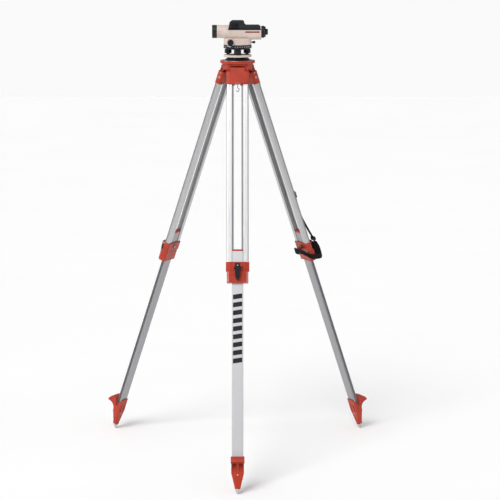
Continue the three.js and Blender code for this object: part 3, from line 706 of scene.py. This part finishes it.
# ---- tripod head
def on_head(part, name, mesh, material, slot, node=None):
    """A piece in the head's frame, on the head or on one of the bodies it carries."""
    piece(name, mesh, HEAD, material, part, slot, *([node] if node else []))


def bolt_head(reach, radius, height, socket=0.45):
    """A turned screw head on the +y side of reach, with a hexagon socket."""
    head = rod(radius, reach - 3, reach + height, "y", soft=0.5)
    return cut(head, hexagon(radius * socket, reach + height * 0.35, reach + height + 1, "y"))


def build_head():
    """Top plate, casting with a pair of lugs for each leg, and the bolts the legs turn on."""
    plate = washer(20, 61, -3, 0, segments=144, soft=0.45)
    on_head("tripod_head", "head_top_plate", plate, faced_aluminium, "bare_aluminium", "head_plate")
    casting = lathe([
        (20, -3.3), (61.3, -3.3), (61.3, -0.5), (63.5, -0.5, 1.2), (63.5, -10.5, 1.6), (56.5, -12, 1.5),
        (56.5, -32.5, 1.2), (42, -32.5), (42, -18), (20, -18),
    ], segments=144)
    lug = rounded([(47, -16, 0), (32, -16, 0), (36.5, -40.5, 7.3), (51.5, -40.5, 7.3)], 0, 8)
    for side in SIDES:
        turn = math.degrees(AZIMUTHS[side])
        for y0, y1 in ((LUG_INNER, LUG_OUTER), (-LUG_OUTER, -LUG_INNER)):
            casting = union(casting, spun(prism(lug, y0, y1, "y", 0.8), turn))
        casting = cut(casting, spun(block(28, 69, -LUG_INNER, LUG_INNER, -43, -18), turn))
    for side in SIDES:
        bore = rod(5.3, -60, 60, "y", (HINGE_RADIUS, -HINGE_DROP))
        casting = cut(casting, spun(bore, math.degrees(AZIMUTHS[side])))
    on_head("tripod_head", "head_body", casting, orange_paint, "orange_casting", "head_casting")
    end = LUG_OUTER - 1.5
    socket = hexagon(2.4, end - 2, LUG_OUTER, "y")
    for side in SIDES:
        pin = lathe([(0, -end), (5, -end, 0.8), (5, end, 0.8), (0, end)], "y", segments=48, soft=0)
        pin = cut(pin, socket, spun(socket, 180))
        name, node = f"pivot_bolt_{side}", f"hinge_bolt_{side}"
        piece(name, pin, HINGES[side], dark_steel, "tripod_head", "bright_steel", node)


def build_fixing_screw():
    """The central screw that holds the instrument, its lobed wheel, and the hook for a plumb bob."""
    spindle = lathe([
        (0, -86), (9, -86), (11, -83), (11, -60), (9.5, -45), (11, -31), (7.9, -30.5), (7.9, 13), (6.4, 14.5),
        (0, 14.5),
    ], segments=64, soft=0.8)
    wheel = prism(lobes(24, 10, 1.8, 10), -31.5, -18.3, "z", 1.4, 3)
    screw = union(spindle, wheel)
    on_head("fixing_screw", "centre_screw", screw, black_plastic, "black_plastic", "fixing_screw")
    route = spline([(0, -86.3), (0, -94), (0, -101), (5, -106), (5, -112), (0, -116), (-5, -112)], 48)
    wire = tube_along([Vector((place.x, 0, place.y)) for place, _ in route], 1.6, 16)
    on_head("fixing_screw", "bob_hook", wire, steel, "bright_steel", "plumb_hook")


# ---- legs
def on_leg(part, side, name, mesh, material, slot, node=None, place=None):
    """A piece of one leg, named after its side, on that leg's upper_leg, lower_leg or lever body."""
    nodes = [f"{node}_{side}"] if node else []
    piece(f"{name}_{side}", mesh, place or LEGS[side], material, f"{part}_{side}", slot, *nodes)


def rail_outline():
    """One bar with its runner, a fine line down each face and another down the outer side."""
    line = RAIL_EDGE + 8
    h = RAIL_HALF
    r = RUNNER_HALF
    return rounded(mirrored([
        (r, RAIL_INNER, 0.6), (r, RAIL_EDGE, 0.4), (h, RAIL_EDGE, 0.7), (h, line, 0.2),
        (h - 0.8, line + 1, 0.2), (h, line + 2, 0.2), (h, RAIL_OUTER, 8.5), (1.2, RAIL_OUTER, 0.1),
    ], (0, RAIL_OUTER - 1, 0.1)), 0, 8)


def rail_rooms(low, high):
    """The spaces for the two bars, with a gap all round."""
    gap = 0.3
    edge, outer, half = RAIL_EDGE - gap, RAIL_OUTER + gap, RAIL_HALF + gap
    bar = rounded([(-half, edge, 0), (half, edge, 0), (half, outer, 8.8), (-half, outer, 8.8)], 0, 6)
    side = RUNNER_HALF + gap
    room = union(prism(bar, low, high), block(-side, side, RAIL_INNER - gap, RAIL_EDGE + 1, low, high))
    return room, spun(room, 180)


def build_yoke(side):
    """The casting at a leg's top: a tongue between the head's lugs, and a body that holds both bars."""
    x = YOKE_HALF
    tongue = prism(arc(0, 0, x, 0, 180, 32) + [(-x, -12), (x, -12)], -TONGUE_SIDE, TONGUE_SIDE, "y", 0.8)
    body = prism(rectangle(-x, x, -YOKE_SIDE, YOKE_SIDE, 9.5, 8), -56, -8, "z", 1.5, 3)
    notch = prism(rounded([(-10, -60, 0), (10, -60, 0), (10, -51.5), (-10, -51.5)], 2), -20, 20, "x")
    engraved = block(x - 0.8, x + 1.5, -18, 18, -44.2, -43)
    bore = rod(5.4, -40, 40, "y")
    sinks = []
    screws = []
    for height, room, radius in ((-31, 5.0, 4.6), (-14, 2.9, 2.5)):
        sink = rod(room, -50, -40.6, "y", (0, height))
        sinks += [sink, spun(sink, 180)]
        screw = shifted(bolt_head(39.2, radius, 2.1, 0.5), z=height)
        screws += [screw, spun(screw, 180)]
    rooms = [*rail_rooms(-60, -23.7), notch, engraved, spun(engraved, 180), bore, *sinks]
    yoke = cut(union(body, tongue), *rooms)
    on_leg("upper_leg", side, "yoke", yoke, orange_paint, "orange_casting", "leg_yoke")
    on_leg("upper_leg", side, "yoke_screws", gathered(*screws), steel, "bright_steel")


def build_rails(side):
    """The two bars of the upper leg."""
    bar = prism(rail_outline(), -741, -24, "z", 0.3, 1)
    for letter, mesh in (("a", bar.copy()), ("b", spun(bar, 180))):
        name = f"{side}_{letter}"
        piece(
            "leg_bar_" + name, mesh, LEGS[side], bright_aluminium, "upper_leg_" + side, "bare_aluminium",
            "rail_" + name,
        )


def tube_room(low, high):
    """The space for the lower leg, with a gap all round."""
    x, y = TUBE_HALF + 0.4, TUBE_SIDE + 0.4
    return block(-x, x, -y, y, low, high)


def build_clamp(side):
    """The clamp's upper band and lower body, two ears with the lever's pin, and a screw on the inner side."""
    b, o = BAND_OUTER, BODY_OUTER
    band = rounded(flipped([(-13.5, -38, 2), (-9.5, -42, 2), (b - 5, -42, 3), (b, -29, 7)]), 0, 6)
    body = rounded(flipped([(-12, -35, 2), (-8.5, -38.5, 2), (o - 8, -38.5, 5), (o, -31, 5)]), 0, 6)
    ear = arc(*PIVOT, 6.5, -90, 90, 16) + [(b - 1, PIVOT[1] + 8), (b - 1, PIVOT[1] - 13.5)]
    shell = union(
        prism(band, -743, -709, "z", 1.2, 3),
        prism(body, -785, -743.6, "z", 2.0, 3),
        block(-9, b - 1, -36, 36, -745, -742),
        prism(ear, 9.8, 13.8, "y", 0.9, 3),
        prism(ear, -13.8, -9.8, "y", 0.9, 3),
    )
    clamp = cut(shell, *rail_rooms(-741.3, 0), tube_room(-900, 0))
    on_leg("upper_leg", side, "clamp", clamp, orange_gloss, "orange_plastic", "leg_clamp")
    pin = rod(2.9, -14.3, 14.3, "y", PIVOT, soft=0.5)
    on_leg("upper_leg", side, "lever_pin", pin, steel, "bright_steel")
    screw = cut(rod(4.4, -13, -16.4, "x", CLAMP_SCREW, soft=0.5), hexagon(2.1, -18, -15, "x", CLAMP_SCREW))
    on_leg("upper_leg", side, "clamp_screw", screw, steel, "bright_steel")
    seat = washer(4.6, 8, -13, -14.4, "x", CLAMP_SCREW, soft=0.4)
    on_leg("upper_leg", side, "clamp_seat", seat, black_plastic, "black_plastic")


def build_lever(side):
    """A tapering lever, seen from the side and from the front, with three grip lines near its end."""
    end = -51
    tail = [(2, -13, 8), (-1, end + 1, 0.8), (0, end, 0.5), (4.5, end, 1), (5.5, end + 2, 1)]
    plate = prism(rounded(arc(0, 0, 9, 0, 252, 28) + tail, 0, 5), -9.5, 9.5, "y")
    half = [(3.6, end, 3), (8, end + 8, 9), (9.5, -20, 30), (9.5, 9, 2.5)]
    front = prism(rounded(mirrored(half), 0, 6), -20, 20, "x")
    lever = softened(common(plate, front), 0.9, 3)
    grips = [block(5.2, 9, -5.5, 5.5, z, z + 0.9) for z in (-46, -43.4, -40.8)]
    lever = cut(lever, rod(3.1, -20, 20, "y"), *grips)
    place = LEGS[side] @ Matrix.Translation((PIVOT[0] * MM, 0, PIVOT[1] * MM))
    on_leg("lever", side, "lever", lever, black_plastic, "black_plastic", "clamp_lever", place)
    rivet = lathe([(0, 7.5), (2.3, 7.5), (2.3, 9.2), (1.4, 9.9), (0, 10.0)], "x", (0, -1), 40, 0.3)
    on_leg("lever", side, "lever_rivet", rivet, steel, "bright_steel", place=place)


def lower_outline():
    """The lower leg's section, with a groove down each side for the bars' runners."""
    x, y, groove, floor = TUBE_HALF, TUBE_SIDE, GROOVE_HALF, GROOVE_FLOOR
    half = [(groove, -floor, 0.4), (groove, -y, 0.5), (x, -y, 1.6)]
    return rounded(mirrored(flipped(half)), 0, 4)


def build_lower_leg(side):
    """The sliding leg and the plug in its upper end."""
    tube = prism(lower_outline(), -1445, -669.3, "z", 0.2, 1)
    on_leg("lower_leg", side, "slide_leg", tube, dull_aluminium, "bare_aluminium", "inner_leg")
    plug = prism(lower_outline(), -669, -663, "z", 0.5, 2)
    on_leg("lower_leg", side, "leg_plug", plug, orange_plastic, "orange_plastic", "end_plug")


def build_leg_bars():
    """Nine plain slanted bars printed down the outer face of the front lower leg."""
    bars = []
    half, slant, height, pitch = 16.5, 5, 17, 28.6
    for index in range(9):
        low = -1073 + index * pitch
        high = low + height
        outline = rounded([(-half, low), (half, low + slant), (half, high + slant), (-half, high)], 1.2, 3)
        bars.append(prism(outline, TUBE_HALF - 0.2, TUBE_HALF + 0.18, "x"))
    piece("leg_bars", gathered(*bars), LEGS["front"], black_paint, "lower_leg_front", "bare_aluminium")


def foot_side():
    """The foot seen from the side: x out of the leg, z up from the ground point."""
    return rounded([
        (-15, 17, 1), (-12.5, 60, 20), (-11.8, 132, 1.2), (1, 112, 3), (4, 89, 2), (9.5, 116, 1.5),
        (12, 126, 4), (20, 130, 7), (33, 129, 8), (43, 122, 9), (48, 110, 1.2), (46, 107.5, 0.8),
        (34, 106, 6), (24, 100, 9), (17, 90, 9), (12, 70, 20), (6, 17, 1),
    ], 0, 6)


def build_foot(side):
    """The shoe: its side view, cut to its front view with a wider tread, and thinned towards the point."""
    body = prism(foot_side(), -24, 24, "y")
    front = prism(rounded([
        (-22.4, 72, 12), (-9, 15, 1), (9, 15, 1), (22.4, 72, 12), (22.4, 140, 1), (-22.4, 140, 1),
    ], 0, 6), -30, 14, "x")
    tread = prism(rounded([
        (-20, 60, 4), (20, 60, 4), (22.4, 104, 2), (24, 106, 1), (24, 131, 4), (-24, 131, 4), (-24, 106, 1),
        (-22.4, 104, 2),
    ], 0, 6), 13, 60, "x")
    shoe = common(body, union(front, tread))
    waist = loft([
        (14, -15, 6, 9, 8.6), (30, -15, 8, 12.4, 9.5), (50, -14.5, 11, 17.2, 8), (70, -13.5, 13.5, 22.4, 6),
        (73, -13, 60, 24.2, 5), (160, -13, 60, 24.2, 5),
    ], 8)
    shoe = softened(common(shoe, waist), 1.1, 2, 34)
    upright = Matrix.Rotation(LEG_TILT, 4, "Y")  # the point stands straight up when the leg leans
    point_room = moved(rod(10.4, 0, 21.5), Matrix.Translation((POINT_X, 0, 0)) @ upright)
    hollows = []
    for low, high in ((5, 18.5), (-18.5, -5)):
        hollows.append(prism(rectangle(low, high, 76, 105, 3, 4), 12.5, 60, "x"))
        hollows.append(prism(rectangle(low, high, 78, 104, 3, 4), -20, -10.5, "x"))
    shoe = cut(shoe, tube_room(84, 160), point_room, *hollows)
    ground = LEGS[side] @ Matrix.Translation((0, 0, -LEG_LENGTH * MM))
    on_leg("lower_leg", side, "shoe", shoe, orange_paint, "orange_casting", "foot", ground)
    tip = lathe([(0, 0), (2.5, 0), (9.6, 19), (10, 21), (6, 21.3), (6, 34), (0, 34)], segments=64, soft=0.6)
    stood = ground @ Matrix.Translation((POINT_X * MM, 0, 0)) @ upright
    on_leg("lower_leg", side, "spike", tip, steel, "bright_steel", "foot_point", stood)
    rivet = lathe([(0, 7), (2.6, 7), (2.6, 13.6), (1.6, 14.4), (0, 14.5)], "x", segments=40)
    rivets = gathered(shifted(rivet, z=66), shifted(spun(rivet, 180), z=68))
    on_leg("lower_leg", side, "shoe_rivets", rivets, steel, "bright_steel", place=ground)


# ---- carrying strap
def band(route, width, closed):
    """Webbing along a route of (centre, out, across) in millimetres, with a weave attribute of its own."""
    bm = bmesh.new()
    weave = bm.verts.layers.float_vector.new("weave")
    section = rectangle(-width / 2, width / 2, -1.1, 1.1, 0.8, 3)
    rings = []
    travelled = 0.0
    for index, (centre, out, across) in enumerate(route):
        if index:
            travelled += (centre - route[index - 1][0]).length
        ring = []
        for u, v in section:
            vertex = bm.verts.new(centre + across * u + out * v)
            vertex[weave] = (u, travelled, v)
            ring.append(vertex)
        rings.append(ring)
    skin(bm, rings, closed)
    bmesh.ops.recalc_face_normals(bm, faces=bm.faces)
    mesh = bpy.data.meshes.new("band")
    bm.to_mesh(mesh)
    bm.free()
    return mesh


def strip(points, middle, width, steps, sway=0.0):
    """Webbing that follows points of x and z, lying flat across the leg with its middle at y."""
    route = []
    for index, (place, slope) in enumerate(spline(points, steps)):
        centre = Vector((place.x, middle + sway * math.sin(index * 0.07), place.y))
        route.append((centre, Vector((slope.y, 0, -slope.x)), Vector((0, 1, 0))))
    return band(route, width, False)


def loop_route():
    """Once round the leg below the clamp: lower in front, a little higher behind, waving in between."""
    level, slope, lift = -766, 0.4, 0.018
    outline = rectangle(-31.9, 44.9, -45.9, 45.9, 29, 20)
    count = len(outline)
    route = []
    for index, (x, y) in enumerate(outline):
        before = Vector(outline[index - 1])
        after = Vector(outline[(index + 1) % count])
        along = (after - before).normalized()
        sag = 1.2 * math.sin(index / count * 2 * math.pi * 3)
        centre = Vector((x, y, level - slope * x + lift * min(x, 0) ** 2 + sag))
        across = Vector((0.05 * math.sin(index), 0, 1)).normalized()
        route.append((centre, Vector((along.y, -along.x, 0)), across))
    return route


def build_strap():
    """The strap down the right leg, its loop round the leg, the folded end over the clamp and two buckles."""
    leg = LEGS["right"]
    body = "upper_leg_right"
    run = strip([
        (15.4, -60), (12.6, -90), (12.4, -300), (12.8, -470), (14.3, -503), (14.3, -527), (12.8, -560),
        (13.2, -600), (23, -655), (34.6, -704), (37, -715.5),
    ], -21, 16, 200)
    piece("shoulder_strap", run, leg, strap_webbing, body, "black_webbing", "carry_strap", smooth=60)
    folds = strip([
        (36, -719), (43, -745), (41.8, -778), (38.5, -786), (35.2, -780), (36, -745), (33, -724),
        (29.5, -721), (26.5, -726), (28.5, -750), (29.5, -776), (31.5, -781),
    ], -26.5, 20.5, 260, sway=0.8)
    loop = gathered(band(loop_route(), 20, True), folds)
    piece("strap_ring", loop, leg, strap_webbing, body, "black_webbing", "strap_loop", smooth=60)
    for name, node, x, half, bottom, top in (
        ("slide_buckle", "strap_slider", 14.4, 3.8, -527, -503),
        ("end_buckle", "strap_hook", 35.6, 5.0, -716, -702),
    ):
        outer = prism(rectangle(x - half, x + half, bottom, top, 2, 6), -32, -10.5, "y", 0.8, 3)
        room = block(x - half + 1.4, x + half - 1.4, -29.3, -12.7, bottom - 1, top + 1)
        piece(name, cut(outer, room), leg, black_plastic, body, "black_plastic", node)


# ---- levelling base
SCREW_AZIMUTHS = (-90, 30, 150)
SCREW_CIRCLE = 40


def polar(radius, azimuth):
    turn = math.radians(azimuth)
    return radius * math.cos(turn), radius * math.sin(turn)


def build_base():
    """Spring plate, base plate, three foot screws and the three-armed tribrach above them."""
    spring = lathe([
        (8.3, 0.3), (40, 0.3), (45, 2.5), (45, 4), (38, 8), (36, 11.4), (8.3, 11.4),
    ], segments=128)
    on_head("tripod_head", "spring_disc", spring, black_paint, "black_casting", "spring_plate")
    plate = [(0, 16), (8.3, 16), (8.3, 11.7), (51, 11.7, 2.2), (51, 20.1, 1.6), (0, 20.1)]
    plate = lathe(plate, segments=128)
    on_head("tripod_head", "base_disc", plate, tan_paint, "tan_casting", "base_plate")
    out = Matrix.Translation((SCREW_CIRCLE * MM, 0, 0))
    for number, azimuth in enumerate(SCREW_AZIMUTHS, 1):
        spindle = lathe([
            (0, 20.4), (5, 20.4), (6.5, 22), (6.5, 24.4), (3.6, 26), (3.6, 40), (0, 40),
        ], segments=48)
        wheel = prism(lobes(13.5, 8, 1.7, 8), 24, 38.5, "z", 1.0, 2)
        screw = union(cut(wheel, washer(11.9, 15, 30.7, 31.9, segments=64)), spindle)
        place = HEAD @ Matrix.Rotation(math.radians(azimuth), 4, "Z") @ out
        name = f"foot_screw_{number}"
        piece(f"levelling_screw_{number}", screw, place, black_plastic, name, "black_plastic", name)
    corners = []
    for azimuth in SCREW_AZIMUTHS:
        corners += arc(*polar(SCREW_CIRCLE - 4, azimuth), 14, azimuth - 60, azimuth + 60, 16)
    hub = lathe([(0, 20.4), (14, 20.4), (11, 24), (11, 36), (22, 39.5), (23.4, 44), (23.4, 53), (0, 53)])
    arms = union(prism(corners, 39.2, 43.6, "z", 0.9, 2), hub)
    for azimuth in SCREW_AZIMUTHS:
        arms = cut(arms, rod(4.2, 30, 42, "z", polar(SCREW_CIRCLE, azimuth)))
    on_head("tripod_head", "levelling_arms", arms, black_paint, "black_casting", "tribrach")


def turned_copies(mesh, count):
    return gathered(*[spun(mesh, index * 360 / count) for index in range(count)])


def build_circle():
    """The horizontal circle, its notched lower rim, and two rows of plain marks."""
    part = "horizontal_circle"
    ring = lathe([
        (24, 44), (51.5, 44, 1.2), (51.5, 46.4), (51.2, 46.9), (51.2, 53.1), (51.5, 53.6), (51.5, 55, 1),
        (24, 55),
    ], segments=144)
    ring = cut(ring, turned_copies(block(51.0, 53, -0.8, 0.8, 43, 46), 48))
    on_head(part, "degree_circle", ring, black_paint, "black_casting", part)
    tens = turned_copies(block(51.0, 51.3, -0.85, 0.85, 48.4, 50.6), 36)
    twos = turned_copies(block(51.0, 51.25, -0.12, 0.12, 51.4, 52.6), 180)
    on_head(part, "circle_marks", gathered(tens, twos), white_paint, "black_casting")


# ---- telescope
SIGHT = (0, 103.6)  # y and z of the objective's axis
EYE = (0, 102.6)  # y and z of the eyepiece's axis
KNOB = (-25.6, 66.6)  # x and z of the slow-motion shaft
FOCUS = (5, 98)  # x and z of the focusing knob
BUTTON = (0, 65)  # y and z of the check button
VIAL = (-30.5, -57)  # x and y of the round bubble


def barrel_outline(inset=0.0):
    half, low, high = 30 - inset, 75 + inset, 110.7
    return rounded([(-half, low, 15), (half, low, 15), (half, high, 1.0), (-half, high, 1.0)], 0, 10)


def both_sides(near, far):
    """The spans of y, left and right, of something that stands on both sides of the telescope."""
    return (-far, -near), (near, far)


def build_housing():
    """Drum, barrel, objective tube with its neck and the slow-motion boss, hollow where the parts go in."""
    drum = lathe([
        (0, 55.4), (48.5, 55.4), (50.5, 57.4), (50.5, 79.2, 1.2), (46, 80.4, 2), (0, 80.4),
    ], segments=144, soft=0.9, steps=5)
    barrel = prism(barrel_outline(), -36, 86, "x", 1.6, 3)
    tube = rod(23.8, -75.3, -30, "x", SIGHT, 96, 0.5)
    neck = lathe([(0, -56), (23.5, -56), (26, -50, 8), (29, -37), (29, -33), (0, -33)], "x", SIGHT)
    neck = common(neck, block(-60, 0, -40, 40, 70, 110.7))
    boss = lathe([(0, -49.2), (16, -49.2, 1.2), (16, 49.2, 1.2), (0, 49.2)], "y", KNOB, 64)
    boss = common(boss, block(-60, 0, -60, 60, 55.4, 100))
    body = union(drum, barrel, neck, tube, boss)
    holes = [
        block(-33, 80, -26, 26, 86, 115),
        rod(20, -80, -32, "x", SIGHT, 72),
        rod(7.5, 78, 88, "x", EYE),
        rod(4, -60, 60, "y", KNOB, 40),
        rod(4.5, 20, 40, "y", FOCUS, 40),
        rod(2.6, 35, 56, "x", BUTTON, 32),
    ]
    on_head("alidade", "level_body", cut(body, *holes), tan_paint, "tan_casting", "housing")
    line = washer(22, 23.9, -75.2, -73.6, "x", SIGHT, 96, 0.2)
    on_head("alidade", "light_ring", line, white_paint, "tan_casting")
    slant = rounded([(27, 100.8), (80, 100.8), (80, 105.8), (29, 105.8)], 0.4, 2)
    stripes = [prism(slant, low, high, "y") for low, high in both_sides(29.6, 30.12)]
    on_head("alidade", "side_stripe", gathered(*stripes), red_paint, "tan_casting")


def cover_side(inset):
    """The cover from the side: front and back ends, a low rear part and a raised middle."""
    front, back, rear, top = -35 + inset, 84 - inset, 127.8 - inset, 144.3 - inset
    low = 111 - (1 if inset else 0)
    return rounded([
        (front, low, 0), (back, low, 0), (back, 122, 3), (back - 6, rear, 5), (30, rear, 4),
        (26, rear + 3.5, 3), (22.5, top - 3, 3), (19, top, 3), (-20, top, 5), (-29, top - 7, 7),
    ], 0, 5)


def cover_end(inset):
    half = 30.5 - inset
    top = 145 - inset + 1
    return rounded(mirrored([
        (half, 109, 0), (half, 117, 6), (half - 3, 127, 8), (half - 8, top, 2.5),
    ]), 0, 5)


def cover_shape(inset):
    side = prism(cover_side(inset), -32, 32, "y")
    return common(side, prism(cover_end(inset), -60, 100, "x"))


def build_cover():
    """The hollow top cover, with a glossy panel let into each side."""
    shell = softened(cover_shape(0), 1.0, 2, 40)
    shell = cut(shell, cover_shape(2.5), rod(20, -60, -20, "x", SIGHT, 72))
    slightly_in = cover_shape(0.7)
    window_outline = rounded([(-26, 114), (9.5, 114), (2.5, 135), (-22, 135)], 1.5, 4)
    panel_outline = rounded([(-25.5, 114.5), (8.7, 114.5), (2.1, 134.5), (-21.6, 134.5)], 1.2, 4)
    panels = []
    for low, high in both_sides(15, 40):
        shell = cut(shell, cut(prism(window_outline, low, high, "y"), slightly_in.copy()))
        panels.append(common(prism(panel_outline, low, high, "y"), slightly_in.copy()))
    on_head("alidade", "level_cover", shell, black_plastic, "black_plastic", "top_cover")
    hollow = cover_shape(1.6)
    facets = [cut(panel, hollow.copy()) for panel in panels]
    on_head("alidade", "cover_facets", gathered(*facets), gloss_plastic, "black_plastic")


def knurled(radius, depth, count, low, high, axis, bevel=0.5):
    return prism(lobes(radius, count, depth, 4), low, high, axis, bevel, 2)


def build_optics():
    """Both ends of the telescope: objective ring and lens, eyepiece mount, its turning ring and its lens."""
    ring = lathe([
        (19.4, -93), (23, -93), (24.2, -91.8), (24.2, -84), (23.8, -83.6), (23.8, -82.6), (24.2, -82.2),
        (24.2, -76.5), (23.6, -75.6), (19.4, -75.6),
    ], "x", SIGHT, 112, 0.35)
    on_head("alidade", "front_ring", ring, black_paint, "black_casting", "objective_ring")
    front = [(0, -90.5), (8, -90), (14, -88.8), (19.1, -86.8), (19.1, -84.5), (0, -84.5)]
    front = lathe(front, "x", SIGHT, 96, 0.2)
    on_head("alidade", "front_lens", front, lens_glass, "clear_glass", "objective_lens")
    mount = [(7.5, 86.3), (22, 86.3, 1.2), (22, 96, 1.5), (19.5, 98.5), (19, 102.5), (7.5, 102.5)]
    mount = lathe(mount, "x", EYE, 96, 0.6)
    on_head("alidade", "eye_mount", mount, black_plastic, "black_plastic", "eyepiece_mount")
    cup = lathe([
        (5.9, 95), (7.1, 95), (7.1, 102.8), (10.2, 102.8), (10.6, 103.5), (10.6, 109.6), (10.0, 110.5),
        (7, 110.5), (5.9, 108.5),
    ], "x", EYE, 72, 0.3)
    grip = cut(knurled(11, 0.5, 36, 103.6, 108.8, "x", 0.2), rod(9.5, 100, 112, "x"))
    cup = union(cup, shifted(grip, z=EYE[1]))
    on_head("eyepiece_ring", "eye_ring", cup, black_plastic, "black_plastic", "eyepiece_ring")
    eye = [(0, 101), (3.5, 101.3), (5.6, 102), (5.6, 104.4), (3.5, 105.1), (0, 105.4)]
    eye = lathe(eye, "x", EYE, 64, 0.2)
    on_head("eyepiece_lens", "eye_lens", eye, lens_glass, "clear_glass", "eyepiece_lens")


def build_knobs():
    """The focusing knob, the slow-motion shaft with a dished knob at each end, and the check button."""
    shaft = rod(4, 17, 35, "y", segments=40, soft=0.5)
    wheel = knurled(15, 1.1, 30, 33, 47, "y", 0.8)
    face = lathe([(0, 46), (11, 46), (10, 47.6), (0, 47.6)], "y", segments=64)
    knob = shifted(union(wheel, shaft, face), x=FOCUS[0], z=FOCUS[1])
    on_head("focus_knob", "focusing_knob", knob, black_plastic, "black_plastic", "focus_knob")
    parts = [rod(3.6, -52, 52, "y", segments=40, soft=0.5)]
    parts += [knurled(11.4, 0.8, 24, low, high, "y", 0.7) for low, high in both_sides(49.7, 61.2)]
    knobs = shifted(union(*parts), x=KNOB[0], z=KNOB[1])
    knobs = cut(knobs, *[rod(7.5, low, high, "y", KNOB) for low, high in both_sides(60.2, 65)])
    on_head("tangent_shaft", "slow_motion_knobs", knobs, black_plastic, "black_plastic", "tangent_shaft")
    button = [(0, 40), (2.2, 40), (2.2, 54.5), (4.5, 54.5), (4.5, 63), (3.5, 64.5), (0, 64.9)]
    button = lathe(button, "x", BUTTON, 48, 0.6)
    on_head("check_button", "test_button", button, black_plastic, "black_plastic", "check_button")


def build_vial():
    """The round bubble in its cup, on an arm from the drum."""
    cup = [(0, 44), (11, 44, 1.5), (11, 52.8, 0.6), (9, 52.8, 0.4), (9, 49.8), (0, 49.8)]
    cup = lathe(cup, "z", VIAL, 72)
    bearing = math.degrees(math.atan2(VIAL[1], VIAL[0]))
    reach = math.hypot(*VIAL) - 9.5
    arm = union(block(45, reach, -7, 7, 55.6, 59.6, 0.8), block(reach - 2.9, reach, -7, 7, 47, 58, 0.6))
    holder = union(cup, spun(arm, bearing))
    drum = rod(50.8, 50, 90, segments=144)
    boss = rod(16.3, -80, 0, "y", KNOB, 64)
    on_head("alidade", "vial_holder", cut(holder, drum, boss), black_plastic, "black_plastic", "vial_cup")
    glass = lathe([(0, 50.1), (8.7, 50.1), (8.7, 53.0), (6.0, 54.1), (0, 54.5)], "z", VIAL, 64, 0.5)
    on_head("alidade", "vial_window", glass, vial_liquid, "clear_glass", "vial_glass")
    mark = washer(3.1, 3.5, 54.1, 54.55, "z", VIAL)
    on_head("alidade", "vial_mark", mark, black_paint, "black_plastic")


def finish_hidden_nodes():
    """CAD nodes that are carried over as they are, inside the telescope."""
    finishes = {"compensator": brass, "focusing_cell": black_paint, "reticle_plate": lens_glass}
    for name, material in finishes.items():
        node = frame["nodes"][name]
        node.data.materials.clear()
        node.data.materials.append(material)


def add_floor():
    made = Surface("floor", roughness=0.7)
    made.coloured((0.97, 0.97, 0.97, 1), (0.955, 0.955, 0.955, 1), 900)
    bm = bmesh.new()
    bmesh.ops.create_grid(bm, x_segments=1, y_segments=1, size=14)
    mesh = bpy.data.meshes.new("floor")
    bm.to_mesh(mesh)
    bm.free()
    mesh.materials.append(made.material)
    floor = bpy.data.objects.new("floor", mesh)
    bpy.context.scene.collection.objects.link(floor)


add_camera()
add_studio()
build_head()
build_fixing_screw()
for leg_side in SIDES:
    build_yoke(leg_side)
    build_rails(leg_side)
    build_clamp(leg_side)
    build_lever(leg_side)
    build_lower_leg(leg_side)
    build_foot(leg_side)
build_leg_bars()
build_strap()
build_base()
build_circle()
build_housing()
build_cover()
build_optics()
build_knobs()
build_vial()
finish_hidden_nodes()
add_floor()
